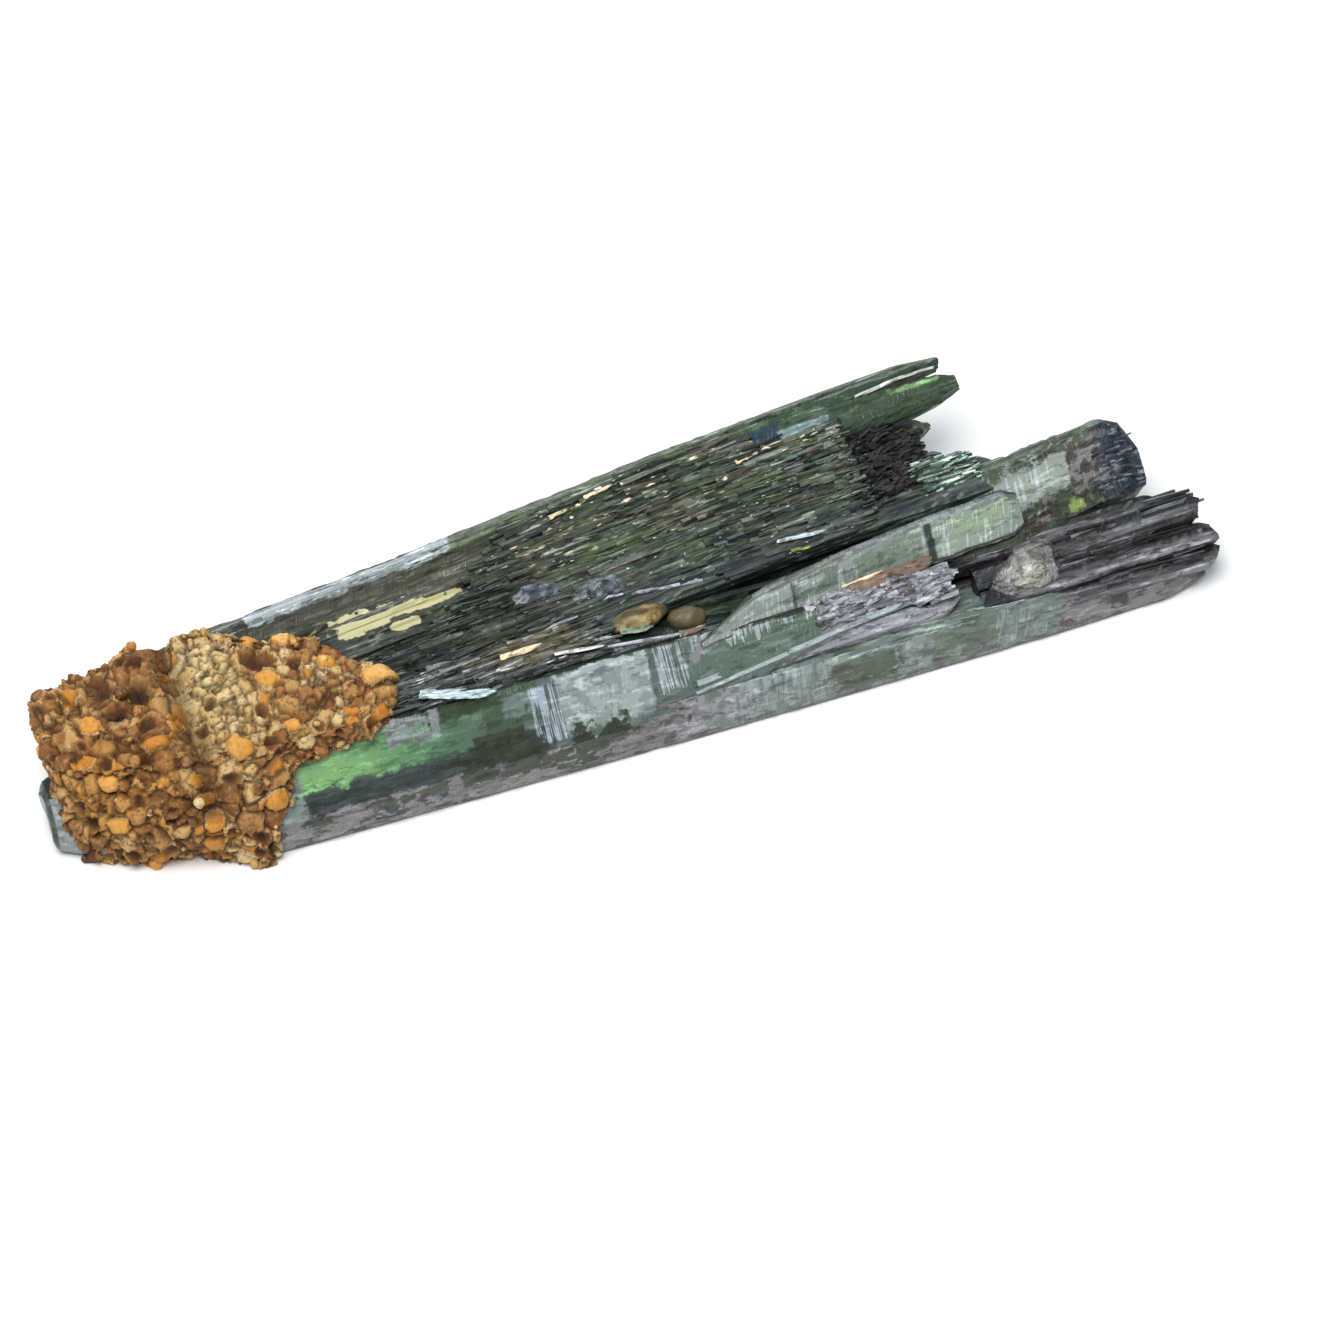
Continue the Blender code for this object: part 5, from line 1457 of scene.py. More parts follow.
CORE = core_finish("core_green", [(0.25, INK), (0.45, BOTTLE), (0.62, MOSS), (0.85, (0.07, 0.09, 0.065))])
SPRAY = spray_finish()
CLEFT = cleft_finish("plum_cleft", [
    (0.2, INK), (0.36, (0.018, 0.025, 0.02)), (0.54, (0.06, 0.068, 0.058)), (0.72, (0.15, 0.155, 0.165)),
    (0.9, (0.38, 0.38, 0.42))], light=1.8, dark=0.7)
DARK_STEP = plain_fibre_finish("dark_step", [
    (0.3, (0.003, 0.003, 0.003)), (0.6, (0.007, 0.006, 0.007)), (0.82, (0.014, 0.013, 0.015)),
    (0.97, (0.09, 0.09, 0.11))], light=0.3, roughness=0.6, coat=0.0)
RODS = plain_fibre_finish("plum_slivers", [
    (0.2, (0.006, 0.007, 0.007)), (0.42, (0.02, 0.021, 0.022)), (0.62, (0.08, 0.08, 0.088)),
    (0.8, (0.18, 0.18, 0.2)), (0.94, (0.3, 0.3, 0.33))], lean=0.0, light=1.0)
FRAYS = plain_fibre_finish("navy_frays", [
    (0.2, INK), (0.4, NAVY), (0.58, (0.05, 0.06, 0.08)), (0.74, (0.13, 0.14, 0.17)),
    (0.9, (0.3, 0.31, 0.35))])
# The pale green and near-white stops are painted glints on the glittering steps.
GLITTER = plain_fibre_finish("glitter_green", [
    (0.0, INK), (0.26, (0.03, 0.065, 0.045)), (0.42, (0.09, 0.14, 0.105)), (0.56, (0.24, 0.34, 0.27)),
    (0.68, (0.55, 0.75, 0.65)), (0.76, (0.9, 0.98, 0.9))], fade="CONSTANT", coat=0.5)
BUNDLE = bundle_finish()
STEPS = plain_fibre_finish("flaky_lilac", [
    (0.16, (0.06, 0.06, 0.068)), (0.34, (0.2, 0.2, 0.225)), (0.55, (0.34, 0.345, 0.385)),
    (0.75, (0.48, 0.5, 0.55)), (0.92, (0.62, 0.65, 0.7))], lean=0.05, light=0.4, dark=0.7)
BOSS_BREAK = boss_finish()
LUMP_BREAK = lump_finish()
CEMENT = cement_finish()
OOLITE = oolite_finish()
AMBER_GRAIN = amber_finish()
CHIPS = chip_finish("bright_chips", [
    (0.0, GLINT_GOLD), (0.2, (0.82, 0.8, 0.76)), (0.28, (0.33, 0.34, 0.4)), (0.36, (0.5, 0.62, 0.66)),
    (0.56, (0.3, 0.4, 0.3)), (0.7, (0.5, 0.7, 0.1)), (0.9, RUST)], 0.3)

# See-through depth, as absorption colour and density a metre.
GREEN_DEPTH = ((0.35, 0.8, 0.45), 300.0)
AMBER_DEPTH = ((0.95, 0.78, 0.4), 250.0)


def see_through(material, colour, density):
    """Gives a glassy material its absorption inside."""
    n = Nodes(material.node_tree)
    inside = n.first("ShaderNodeVolumeAbsorption", {"Color": colour, "Density": density})
    n.put(inside, n.tree.nodes["Material Output"].inputs["Volume"])


for crystal in (FRONT, UPPER_RIM, LOWER_RIM):
    see_through(crystal, *GREEN_DEPTH)
see_through(AMBER_GRAIN, *AMBER_DEPTH)


# Pieces

GREEN = "green_crystal"
CRYSTALS = "vivianite_crystals"
CRUST = "oolitic_matrix"

# Two slender splinters that lie on the front face beside the long one.
FINE_SPLINTERS = [
    ((1.0, -2.97, 3.1), (8.8, -2.44, 4.22), (0.2, 0.16), (0.32, 0.2), 40, 0.1),
    ((6.4, -2.62, 3.98), (13.2, -1.98, 4.58), (0.26, 0.2), (0.3, 0.2), 40, 0.1),
]


def bars(rows):
    """The crystals of a table of blades."""
    return [blade_loft(*row) for row in rows]


def crystal_piece(name, lofts, material, seed, **how):
    """One finished piece of several crystals grown into each other."""
    draw = random.Random(seed)
    shape = Shape()
    for loft in lofts:
        grow(shape, loft, draw, **how)
    return dress(piece_from(shape, name), material, GREEN, CRYSTALS)


def build_crystals():
    """Every crystal but the fine laths."""
    crystal_piece("front_crystal", [station_loft(FRONT_CRYSTAL)], FRONT, 1,
                  step=0.25, facet=0.25, ridge=0.014, run=14.0, rough={1: 0.16}, wear=0.14)
    crystal_piece("keel_crystal", [station_loft(KEEL_CRYSTAL)], KEEL, 2,
                  step=0.25, facet=0.25, ridge=0.03, run=7.0, rough={1: 0.1}, wear=0.16)
    crystal_piece("crystal_core", [station_loft(CORE_BODY), *bars(BACK_BLADES)], CORE, 3,
                  step=0.6, facet=0.3, ridge=0.08, run=6.0)
    crystal_piece("upper_rim", [station_loft(RIM_UPPER)], UPPER_RIM, 4,
                  step=0.3, facet=0.2, ridge=0.04, run=8.0, wear=0.12)
    crystal_piece("lower_rim", [station_loft(RIM_LOWER)], LOWER_RIM, 14,
                  step=0.3, facet=0.2, ridge=0.04, run=8.0, wear=0.12)
    crystal_piece("striped_blade", [station_loft(STRIPED_BLADE)], STRIPED, 5,
                  step=0.25, facet=0.2, ridge=0.03, wear=0.12)
    crystal_piece("blunt_blade", [station_loft(BLUNT_BLADE)], BLUNT, 6,
                  step=0.25, facet=0.25, ridge=0.05, run=6.0, fracture=0.35, wear=0.2)
    crystal_piece("ridge_bundle", bars(RIDGE_BLADES), BUNDLE, 7,
                  step=0.3, facet=0.3, ridge=0.1, run=14.0, wear=0.2)
    crystal_piece("front_flakes", bars(FLAKE_BLADES), FLAKE, 8,
                  step=0.3, facet=0.2, ridge=0.08, run=1.2, wear=0.15)
    crystal_piece("pale_splinter", bars([SPLINTER, *FINE_SPLINTERS]), SPLINTERS, 9,
                  step=0.3, facet=0.1, ridge=0.02)
    crystal_piece("spray_blades", bars(SPRAY_BLADES), SPRAY, 10,
                  step=0.5, facet=0.16, ridge=0.08, run=2.5, wear=0.1)


LUMP_SEED = 11
CLEFT_GRAIN_SEED = 12
CHIP_SEED = 21


def build_lumps():
    """The rounded breaks among the crystals."""
    draw = random.Random(LUMP_SEED)
    boss, lumps = Shape(), Shape()
    rounded(boss, *BOSS, draw, dent=0.25, dent_size=1.1)
    dress(piece_from(boss, "ringed_break", smooth=True), BOSS_BREAK, GREEN, CRYSTALS)
    for row in SMOOTH_LUMPS:
        rounded(lumps, *row, draw, dent=0.16, dent_size=0.6)
    dress(piece_from(lumps, "blue_grey_breaks"), LUMP_BREAK, GREEN, CRYSTALS)


def build_grains():
    """The two amber-brown grains in the cleft."""
    draw = random.Random(CLEFT_GRAIN_SEED)
    for name, row in CLEFT_GRAINS.items():
        shape = Shape()
        rounded(shape, *row, draw, dent=0.1, dent_size=0.5)
        dress(piece_from(shape, "amber_" + name, smooth=True), AMBER_GRAIN, "amber_grain", name)


# The sheets that laths and flakes are strewn on, as outlines (y, z) at stations along x, and the
# point that they spread from.
SPRAY_SHEET = [
    (-17.0, [(1.7, 5.55), (2.2, 5.7), (2.8, 5.8), (3.3, 5.9)]),
    (-11.0, [(1.8, 5.6), (2.5, 5.8), (3.2, 5.95), (4.0, 6.1)]),
    (-7.5, [(2.0, 5.6), (3.4, 5.9), (4.8, 6.15), (6.4, 6.35)]),
    (-5.5, [(2.2, 5.6), (3.9, 5.95), (6.0, 6.3), (8.6, 6.95)]),
    (2.0, [(2.7, 5.6), (4.6, 5.9), (7.4, 6.35), (9.8, 7.15)]),
    (6.0, [(2.0, 5.7), (5.0, 6.25), (7.8, 6.6), (10.3, 7.1)]),
    (9.0, [(2.3, 5.9), (5.2, 6.4), (7.8, 6.7), (9.6, 6.8)]),
    (13.8, [(2.9, 6.1), (5.4, 6.5), (7.6, 6.6), (9.4, 6.5)]),
]
CLEFT_SHEET = [
    (-18.5, [(-0.5, 5.1), (0.3, 5.2), (1.0, 5.35), (1.7, 5.5)]),
    (-9.0, [(-0.4, 5.15), (0.5, 5.3), (1.3, 5.45), (2.2, 5.6)]),
    (-4.5, [(-0.3, 5.1), (0.6, 5.2), (1.4, 5.35), (2.5, 5.65)]),
    (-2.6, [(-0.3, 5.05), (0.1, 5.05), (0.4, 5.1), (0.6, 5.15)]),
]
STEP_SHEET = [
    (13.3, [(4.2, 6.35), (6.0, 6.2), (7.8, 5.8), (10.0, 5.7)]),
    (16.4, [(4.3, 6.3), (6.0, 6.05), (7.8, 5.5), (9.8, 5.5)]),
    (18.2, [(6.4, 5.3), (7.2, 5.0), (8.4, 4.9), (9.4, 5.2)]),
]
GLITTER_SHEET = [
    (16.9, [(3.7, 6.2), (4.6, 6.3), (5.4, 6.3), (6.1, 6.1)]),
    (20.2, [(3.9, 6.2), (4.6, 6.25), (5.2, 6.2), (5.9, 5.95)]),
]
FLAKY_SHEET = [
    (8.5, [(-1.9, 4.45), (-1.5, 4.95), (-1.2, 5.1), (-0.8, 5.15)]),
    (13.0, [(-1.9, 4.3), (-1.4, 4.9), (-1.1, 5.0), (-0.7, 5.0)]),
    (16.3, [(-1.8, 4.0), (-1.1, 4.4), (-0.6, 4.6), (-0.2, 4.6)]),
]
BUNDLE_SHEET = [
    (21.6, [(-2.9, 2.1), (-2.1, 2.85), (-1.0, 3.55), (0.8, 3.95)]),
    (30.4, [(-2.9, 2.2), (-2.1, 3.0), (-0.9, 4.0), (0.7, 4.25)]),
]
BLUNT_SHEET = [
    (26.6, [(1.2, 4.2), (2.2, 5.0), (3.4, 6.0), (4.2, 6.2)]),
    (28.6, [(1.6, 4.2), (2.4, 4.9), (3.6, 5.8), (4.4, 6.0)]),
]
FAN_APEX = (-105.0, -7.7, 5.0)

# Each layer of laths: its sheet, its finish and, as LATH_INPUTS says, what the tree is given.
LATH_INPUTS = ("Density", "Seed", "End", "Short", "Long", "Thin", "Thick", "Tilt", "Lift")
LATH_LAYERS = {
    "spray_laths": (SPRAY_SHEET, SPRAY, 6.0, 3, 13.4, 0.8, 4.0, 0.2, 0.66, 0.06, 0.16),
    "spray_slivers": (SPRAY_SHEET, SPRAY, 16.0, 8, 13.8, 0.3, 1.8, 0.05, 0.18, 0.16, 0.24),
    "cleft_slivers": (CLEFT_SHEET, CLEFT, 18.0, 4, -2.4, 0.4, 3.0, 0.1, 0.45, 0.12, 0.14),
    "dark_step": (STEP_SHEET, DARK_STEP, 22.0, 5, 18.4, 0.3, 1.2, 0.15, 0.5, 0.5, 0.2),
    "glitter_steps": (GLITTER_SHEET, GLITTER, 22.0, 6, 19.8, 0.5, 2.0, 0.12, 0.34, 0.12, 0.12),
    "flaky_steps": (FLAKY_SHEET, STEPS, 16.0, 7, 17.4, 0.4, 1.8, 0.15, 0.6, 0.35, 0.12),
    "bundle_slivers": (BUNDLE_SHEET, RODS, 5.0, 2, 31.4, 0.8, 4.5, 0.12, 0.42, 0.04, 0.14),
    "blunt_frays": (BLUNT_SHEET, FRAYS, 7.0, 9, 29.0, 0.5, 1.8, 0.1, 0.4, 0.25, 0.12),
}

# How often the edges of a sheet are divided.
SHEET_CUTS = 3


def sheet_mesh(stations, name):
    """A thin open sheet through outlines at stations along x, to scatter things on."""
    work = bmesh.new()
    rows = station_rows(work, stations)
    for row, after in zip(rows, rows[1:]):
        for corners in zip(row, row[1:], after[1:], after):
            work.faces.new(corners)
    bmesh.ops.subdivide_edges(work, edges=work.edges, cuts=SHEET_CUTS, use_grid_fill=True)
    return mesh_from(work, name)


def build_laths():
    """The fine laths, slivers and flakes in their layers."""
    tree = lath_tree()
    for name, (stations, material, *values) in LATH_LAYERS.items():
        inputs = {"Apex": FAN_APEX, **dict(zip(LATH_INPUTS, values))}
        laths = scattered(name, sheet_mesh(stations, name + "_sheet"), tree, inputs, material)
        dress(laths, material, GREEN, CRYSTALS)


# Bright chips and flakes that lie on the crystals: start and end, width, thickness, roll and
# shade, which picks one of the colours of the chips. All their ends have the same slant.
CHIP_SLANT = 0.3
# The gold and yellow-green chips, and the ice-blue one from x 8.0 to 10.6, stand for glints: painted
# highlights laid on as thin flakes.
CHIP_ROWS = [
    ((-13.5, 0.2, 5.5), (-9.9, -1.0, 5.42), 1.15, 0.14, -20, 0.4),
    ((-5.9, 0.35, 5.5), (-3.3, 0.0, 5.5), 0.5, 0.12, -30, 0.25),
    ((-3.0, -0.1, 5.4), (1.3, -0.4, 5.2), 0.34, 0.12, -20, 0.3),
    ((-10.6, 0.5, 5.4), (-8.2, 0.25, 5.4), 0.16, 0.1, 20, 0.25),
    ((-8.7, 0.95, 5.7), (-6.6, 1.0, 5.7), 0.45, 0.2, 0, 0.0),
    ((-2.4, 2.85, 5.9), (3.4, 2.3, 5.75), 0.26, 0.14, 20, 0.3),
    ((8.0, 3.1, 6.3), (10.6, 2.9, 6.35), 0.42, 0.14, -20, 0.4),
    ((8.4, 2.4, 6.1), (9.6, 2.3, 6.1), 0.42, 0.14, -20, 0.75),
    ((7.6, 8.7, 7.0), (9.0, 8.95, 7.0), 0.34, 0.12, 10, 0.0),
    ((9.4, 9.1, 7.0), (10.3, 9.25, 7.0), 0.26, 0.12, 15, 0.0),
    ((-3.4, 8.2, 7.2), (-2.4, 8.35, 7.2), 0.34, 0.12, 10, 0.0),
    ((-1.2, 8.8, 7.35), (0.2, 9.0, 7.4), 0.3, 0.12, 15, 0.0),
    ((10.4, -0.3, 5.25), (12.8, 0.0, 5.27), 0.18, 0.14, 15, 0.0),
    ((10.9, -0.65, 5.02), (15.6, 0.0, 4.95), 0.95, 0.35, 25, 0.92),
    ((-1.9, 0.9, 5.25), (-0.4, 0.55, 5.2), 0.8, 0.14, -15, 0.6),
    ((1.0, -0.4, 5.15), (2.3, -0.35, 5.1), 0.5, 0.2, 20, 0.92),
]


def build_chips():
    """Bright flakes and chips on the crystals."""
    draw = random.Random(CHIP_SEED)
    shape = Shape()
    for start, end, width, depth, roll, shade in CHIP_ROWS:
        size = (width, depth)
        first = len(shape.faces)
        grow(shape, blade_loft(start, end, size, size, roll, CHIP_SLANT), draw,
             step=0.2, facet=0.12, ridge=0.02, run=0.6, fracture=0.15, wear=0.08)
        shape.tints[first:] = [shade] * (len(shape.faces) - first)
    dress(piece_from(shape, "bright_chips"), CHIPS, GREEN, CRYSTALS)


# Crust

# Millimetres: the facets of the crust, how far it sinks before it is roughened, and how far it
# stays off the floor.
CRUST_FACET = 0.11
CRUST_SINK = 0.2
CRUST_FLOOR_GAP = 0.05

# The swelling of the crust as (height, size of a wave), its grit as (height, fineness), each from
# coarse to fine, and how much of the grit the waxy grains have.
CRUST_SWELLING = ((0.4, 3.2), (0.12, 0.9))
CRUST_GRIT = ((0.06, 2.9), (0.045, 6.0))
WAXY_GRIT = 0.3

# How deep the pits are, how fast they and the swells fall off, and how dark the pits are
# painted, as painted shade in them.
PIT_DEPTH = 0.95
HOLLOW_FALL = 2.0
PIT_SHADOW = 1.4
PIT_SHADOW_MOST = 0.97

# The groove across the crust: its middle and width along x, its depth, the height that it starts
# at, and how dark it is painted, as painted shade in the groove.
GROOVE_X = -25.9
GROOVE_WIDTH = 0.9
GROOVE_DEPTH = 0.75
GROOVE_LOW_Z = 3.5
GROOVE_SHADOW = 0.6

# The pale upright ridge in the middle of the crust: its ends along x, and where it starts.
RIDGE_ENDS = (-25.8, -22.0)
RIDGE_LOW_Y = -0.8
RIDGE_LOW_Z = 4.0

# How far a place wanders before it is looked up, as (size of a wave, reach): in small and large
# waves for crumbs, and for the edges of grains. Then how far apart its three noises are read.
CRUMB_WANDER = ((0.35, 0.13), (0.9, 0.18))
GRAIN_WANDER = (0.6, 0.2)
WANDER_SHIFTS = ((9.3, -1.5, -8.0), (0.0, 0.0, 0.0), (6.3, 0.2, -2.7))

# The crumbs of the cement: the size of large and small ones, the share that are large, how much
# they differ in height, how far they tip and bulge and from where, the seam between them as a
# share of the size, how deep it is, and how dark it is painted, as painted shade in the seam.
CRUMB_LARGE = 1.25
CRUMB_SMALL = 0.68
LARGE_SHARE = 0.42
CRUMB_STEP = 0.2
CRUMB_TIP = 0.42
CRUMB_BULGE = 0.32
BULGE_FROM = 0.4
CRUMB_SEAM = 0.24
SEAM_DEPTH = 0.19
SEAM_SHADOW = 0.9

# The shades of crumbs on the ridge, left of it and elsewhere: the lowest, the range, and the share
# of crumbs above which they are waxy.
RIDGE_SHADES = (0.46, 0.26, 1.0)
LEFT_SHADES = (0.06, 0.56, 0.84)
OTHER_SHADES = (0.2, 0.5, 0.92)
LEFT_END_X = -25.6
WAXY_SHADE = 0.8
WAXY_FROM = 0.76

# The round grains and the sockets they fell out of: how many there are, how many places are tried
# for each, their radii, how far apart they are, the share that are grains, the share that the
# ridge keeps clear, and how high a grain stands or how deep a socket goes as a share of its radius.
CRUST_SEED = 18
GRAIN_COUNT = 130
GRAIN_TRIES = 12
GRAIN_RADII = (0.26, 0.52)
RIDGE_CLEAR = 0.7
GRAIN_GAP = 1.0
GRAIN_SHARE = 0.5
GRAIN_RISE = 0.42
SOCKET_FALL = 0.8
SOCKET_LIP = 0.05
# How dark a socket is painted at its bottom, as painted shade.
SOCKET_SHADOW = 0.95

# The seam round a grain: how wide it is and how dark it is painted, as painted shade.
RING_WIDTH = 0.16
RING_SHADOW = 0.7

# The shades that grains and sockets are picked from, and the shade of the large sockets.
GRAIN_SHADES = (0.2, 0.3, 0.5, 0.78, 0.82, 0.86, 0.92)
SOCKET_SHADES = (0.22, 0.3, 0.8)
LARGE_SOCKET_SHADE = 0.35

# Large grains that stand out: place on the crust, radius and shade.
LARGE_GRAINS = [
    ((-19.3, 5.6, 7.0), 0.75, 0.98),
    ((-15.7, 1.5, 6.2), 0.7, 0.97),
    ((-17.7, 3.2, 6.8), 0.55, 0.9),
    ((-21.1, 2.8, 7.2), 0.6, 0.88),
    ((-23.8, -0.7, 6.35), 0.75, 0.86),
    ((-30.7, -1.2, 3.5), 0.75, 0.92),
    ((-30.8, -0.1, 5.5), 0.6, 0.94),
    ((-22.5, -2.8, 3.9), 0.75, 0.84),
    ((-25.8, -2.8, 3.3), 0.6, 0.84),
    ((-30.75, 3.2, 6.6), 0.65, 0.86),
    ((-21.2, 5.7, 7.2), 0.5, 0.84),
    ((-20.9, -0.9, 5.2), 0.45, 0.82),
]

# Large sockets: place on the crust and radius.
LARGE_SOCKETS = [
    ((-21.2, 4.3, 7.0), 1.0),
    ((-18.9, 4.6, 7.0), 0.6),
    ((-29.9, 5.1, 6.0), 0.9),
    ((-28.5, 4.3, 6.35), 0.85),
    ((-31.1, 3.6, 6.3), 0.5),
    ((-24.6, -1.9, 5.4), 0.5),
]

# Where the crust bulges out further: place, reach and height.
CRUST_SWELLS = [
    ((-23.6, -3.9, 0.6), 1.2, 0.2),
    ((-29.6, -1.9, 0.8), 1.8, 0.2),
    ((-15.2, 0.8, 5.9), 1.5, 0.9),
    ((-17.0, -1.1, 5.3), 1.3, 0.5),
    ((-29.2, 4.7, 6.5), 1.6, 0.45),
    ((-31.0, 6.2, 6.6), 1.8, 0.5),
    ((-28.0, 6.7, 6.8), 1.8, 0.5),
    ((-32.7, 5.4, 6.2), 1.6, 0.8),
    ((-33.2, 3.2, 5.6), 1.3, 0.4),
]

# Loose grains and crumbs on the crust, as what the tree is given.
GRAIN_LAYERS = {
    "oolite_grains": {"Spacing": 2.6, "Seed": 5, "Small": 0.2, "Large": 0.4, "Sunk": 0.3,
                      "Lumpiness": 0.3, "Finish": 2, "Smooth": True},
    "oolite_crumbs": {"Spacing": 0.85, "Seed": 9, "Small": 0.07, "Large": 0.18, "Sunk": 0.1,
                      "Lumpiness": 0.2, "Finish": 1, "Smooth": False},
}


def remeshed(mesh, facet):
    """A mesh made again with even facets."""
    guide = new_object("guide", mesh)
    remesh = guide.modifiers.new("remesh", "REMESH")
    remesh.mode = "VOXEL"
    remesh.voxel_size = facet
    made = evaluated_mesh(guide)
    bpy.data.objects.remove(guide, do_unlink=True)
    return made


def hull(stations):
    """A closed mesh through outlines at stations along x."""
    work = bmesh.new()
    rows = station_rows(work, stations)
    for row, after in zip(rows, rows[1:]):
        for corners in zip(row, row[1:] + row[:1], after[1:] + after[:1], after):
            work.faces.new(corners)
    work.faces.new(rows[0])
    work.faces.new(reversed(rows[-1]))
    bmesh.ops.triangulate(work, faces=work.faces)
    bmesh.ops.recalc_face_normals(work, faces=work.faces)
    return mesh_from(work, "hull")


def chance(place, salt):
    """A steady random number from 0 to 1 for a place."""
    value = math.sin(place.x * 12.9898 + place.y * 78.233 + place.z * 37.719 + salt) * 43758.5453
    return value - math.floor(value)


def on_ridge(place):
    """Whether a place lies on the pale upright ridge in the middle of the crust."""
    return RIDGE_ENDS[0] < place.x < RIDGE_ENDS[1] and place.y > RIDGE_LOW_Y and place.z > RIDGE_LOW_Z


def wandering(place, size, reach):
    """A vector that wanders over the crust in waves of a size, by up to its reach each way."""
    spot = place / size
    return Vector([noise.noise(spot + Vector(shift)) for shift in WANDER_SHIFTS]) * reach


def crumb(place):
    """The rise, shade and seam of the cement at a place."""
    jogged = place + wandering(place, *CRUMB_WANDER[0]) + wandering(place, *CRUMB_WANDER[1])
    size = CRUMB_LARGE
    distances, centres = noise.voronoi(jogged / size)
    if chance(centres[0], 6.0) > LARGE_SHARE:
        size = CRUMB_SMALL
        distances, centres = noise.voronoi(jogged / size)
    centre = centres[0]
    tip = Vector([chance(centre, salt) - 0.5 for salt in (1.0, 2.0, 3.0)])
    rise = CRUMB_STEP * (chance(centre, 4.0) - 0.5) + CRUMB_TIP * tip.dot(jogged / size - centre) * size
    rise += CRUMB_BULGE * (BULGE_FROM - distances[0]) * size
    seam = max(0.0, 1.0 - (distances[1] - distances[0]) / CRUMB_SEAM)
    pick = chance(centre, 5.0)
    shades = RIDGE_SHADES if on_ridge(place) else LEFT_SHADES if place.x < LEFT_END_X else OTHER_SHADES
    shade = shades[0] + shades[1] * pick if pick < shades[2] else WAXY_SHADE
    return rise, shade, seam


def grain_spots(points, draw):
    """Round grains and sockets over the crust: place, radius, shade and whether it is a grain."""
    spots = [(Vector(place), radius, shade, True) for place, radius, shade in LARGE_GRAINS]
    spots += [(Vector(place), radius, LARGE_SOCKET_SHADE, False) for place, radius in LARGE_SOCKETS]
    for _ in range(GRAIN_COUNT * GRAIN_TRIES):
        place = Vector(points[draw.randrange(len(points))])
        radius = draw.uniform(*GRAIN_RADII)
        if on_ridge(place) and draw.random() < RIDGE_CLEAR:
            continue
        if any((place - spot[0]).length < max(GRAIN_GAP, radius + spot[1]) for spot in spots):
            continue
        is_grain = draw.random() < GRAIN_SHARE
        spots.append((place, radius, draw.choice(GRAIN_SHADES if is_grain else SOCKET_SHADES), is_grain))
        if len(spots) == GRAIN_COUNT:
            break
    tree = kdtree.KDTree(len(spots))
    for index, spot in enumerate(spots):
        tree.insert(spot[0], index)
    tree.balance()
    return spots, tree


def crust_surface(points, draw):
    """The rise, tint and painted shade of the seams, sockets and grain rings at each point of the crust."""
    spots, tree = grain_spots(points, draw)
    (lump, lump_size), (knob, knob_size) = CRUST_SWELLING
    (coarse, coarse_fine), (grit, grit_fine) = CRUST_GRIT
    rise, tint, painted_shade = np.zeros((3, len(points)))
    for index, point in enumerate(points):
        place = Vector(point)
        lift, shade, seam = crumb(place)
        # Seams, sockets and the rings round grains are painted darker: painted shade in them.
        dark = SEAM_SHADOW * seam
        lift -= SEAM_DEPTH * seam
        _, nearest, away = tree.find(place + wandering(place, *GRAIN_WANDER))
        _, radius, grain_shade, is_grain = spots[nearest]
        if away < radius:
            ball = math.sqrt(1.0 - (away / radius) ** 2) * radius
            shade = grain_shade
            lift = ball * GRAIN_RISE if is_grain else SOCKET_LIP - ball * SOCKET_FALL
            dark = 0.0 if is_grain else SOCKET_SHADOW * ball / radius
        elif away < radius + RING_WIDTH:
            edge = 1.0 - (away - radius) / RING_WIDTH
            lift -= (SEAM_DEPTH if is_grain else -SEAM_DEPTH) * edge
            dark = max(dark, RING_SHADOW * edge) if is_grain else dark * (1.0 - edge)
        swelling = lump * noise.noise(place / lump_size) + knob * noise.noise(place / knob_size)
        rough = coarse * noise.noise(place * coarse_fine) + grit * noise.noise(place * grit_fine)
        rise[index] = lift + swelling - CRUST_SINK + (rough if shade < WAXY_FROM else WAXY_GRIT * rough)
        tint[index] = shade
        painted_shade[index] = dark
    return rise, tint, painted_shade


def nearness(points, centre, radius):
    """How near the points are to a place: one there, and less with each radius away."""
    away = np.linalg.norm(points - np.array(centre), axis=1) / radius
    return np.exp(-HOLLOW_FALL * away ** 2)


def build_crust():
    """The crust: crumbly cement with round grains set in it and sockets that grains fell out of."""
    draw = random.Random(CRUST_SEED)
    mesh = remeshed(hull(CRUST_OUTLINES), CRUST_FACET)
    points, normals = vectors_of(mesh.vertices, "co"), vectors_of(mesh.vertex_normals, "vector")
    rise, tint, painted_shade = crust_surface(points, draw)
    for centre, radius in CRUST_PITS:
        depth = nearness(points, centre, radius)
        rise -= PIT_DEPTH * depth
        painted_shade = np.maximum(painted_shade, np.minimum(PIT_SHADOW * depth, PIT_SHADOW_MOST))
    for centre, radius, height in CRUST_SWELLS:
        rise += height * nearness(points, centre, radius)
    groove = np.exp(-HOLLOW_FALL * ((points[:, 0] - GROOVE_X) / GROOVE_WIDTH) ** 2)
    groove *= points[:, 2] > GROOVE_LOW_Z
    rise -= GROOVE_DEPTH * groove
    painted_shade = np.maximum(painted_shade, GROOVE_SHADOW * groove)
    moved = points + normals * rise[:, None]
    moved[:, 2] = np.maximum(moved[:, 2], CRUST_FLOOR_GAP)
    for key, values in (("tint", tint), ("painted_shade", painted_shade)):
        mesh.attributes.new(key, "FLOAT", "POINT").data.foreach_set("value", values)
    set_points(mesh, moved)
    tree = grain_tree()
    for name, inputs in GRAIN_LAYERS.items():
        dress(scattered(name, mesh.copy(), tree, inputs, OOLITE), OOLITE, "ochre_matrix", CRUST)
    set_points(mesh, in_frame(moved))
    mesh.shade_smooth()
    dress(new_object("crust_cement", mesh), CEMENT, "ochre_matrix", CRUST)


# Floor, light and camera

# Half the floor's width in metres, and its even grey and roughness.
FLOOR_REACH = 1.5
FLOOR_GREY = 0.9

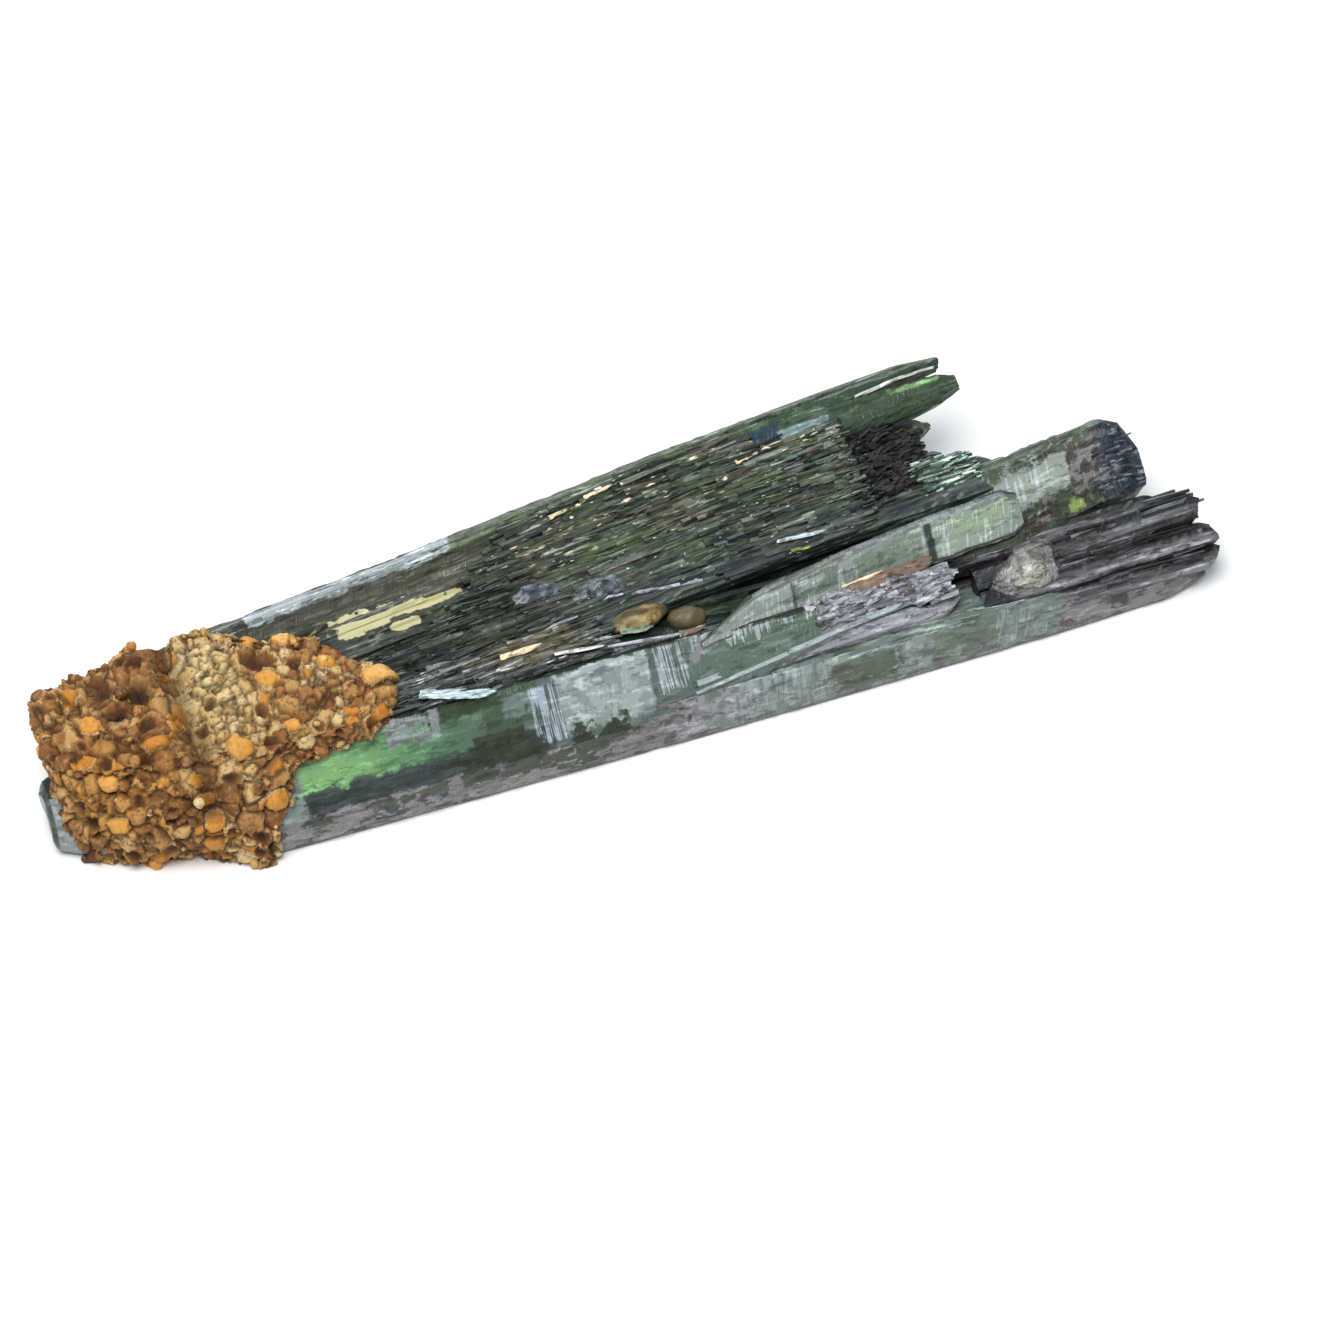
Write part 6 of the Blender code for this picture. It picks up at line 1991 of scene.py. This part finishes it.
# The soft lights: direction, size and power, and colour. All are equally far away.
LIGHT_DISTANCE = 0.5
LIGHTS = {
    "top_light": ((-0.25, -0.2, 1.0), 0.3, 2.7, (1.0, 0.99, 0.97)),
    "back_light": ((0.22, 0.96, 0.3), 0.25, 1.0, (0.85, 0.93, 1.0)),
}
SKY = (0.9, 0.95, 1.0)
SKY_STRENGTH = 0.35


def build_floor():
    """A plain pale floor."""
    mesh = bpy.data.meshes.new("floor")
    corners = [(x * FLOOR_REACH, y * FLOOR_REACH, 0.0) for x, y in ((-1, -1), (1, -1), (1, 1), (-1, 1))]
    mesh.from_pydata(corners, [], [(0, 1, 2, 3)])
    paper = bpy.data.materials.new("paper_white")
    paper.use_nodes = True
    shader = paper.node_tree.nodes["Principled BSDF"]
    shader.inputs["Base Color"].default_value = (FLOOR_GREY, FLOOR_GREY, FLOOR_GREY, 1.0)
    shader.inputs["Roughness"].default_value = 0.9
    mesh.materials.append(paper)
    floor = new_object("floor", mesh)


def build_light():
    """Soft light from above and from behind, and a pale sky."""
    for name, (direction, size, power, colour) in LIGHTS.items():
        data = bpy.data.lights.new(name, "AREA")
        data.shape = "SQUARE"
        data.size = size
        data.energy = power
        data.color = colour
        light = new_object(name, data)
        light.location = Vector(direction).normalized() * LIGHT_DISTANCE
        light.rotation_euler = Vector(direction).to_track_quat("Z", "Y").to_euler()
    world = bpy.data.worlds.new("pale_sky")
    world.use_nodes = True
    background = world.node_tree.nodes["Background"]
    background.inputs["Color"].default_value = (*SKY, 1.0)
    background.inputs["Strength"].default_value = SKY_STRENGTH
    bpy.context.scene.world = world
    bpy.context.scene.view_settings.view_transform = "Standard"


def build_camera():
    """The camera at the photograph's angle."""
    elevation = math.radians(CAMERA_ELEVATION)
    azimuth = math.radians(CAMERA_AZIMUTH)
    back = Vector((math.sin(azimuth) * math.cos(elevation), -math.cos(azimuth) * math.cos(elevation),
                   math.sin(elevation)))
    data = bpy.data.cameras.new("camera")
    data.sensor_width = SENSOR_MM
    data.lens = SENSOR_MM * CAMERA_DISTANCE / (FRAME_PIXELS * PIXEL_MM)
    data.clip_start = CLIP_START
    camera = new_object("camera", data)
    camera.location = (LOOK_AT + back * CAMERA_DISTANCE) * MM + SHIFT
    camera.rotation_euler = back.to_track_quat("Z", "Y").to_euler()
    bpy.context.scene.camera = camera


build_crystals()
build_lumps()
build_grains()
build_laths()
build_chips()
build_crust()
build_floor()
build_light()
build_camera()
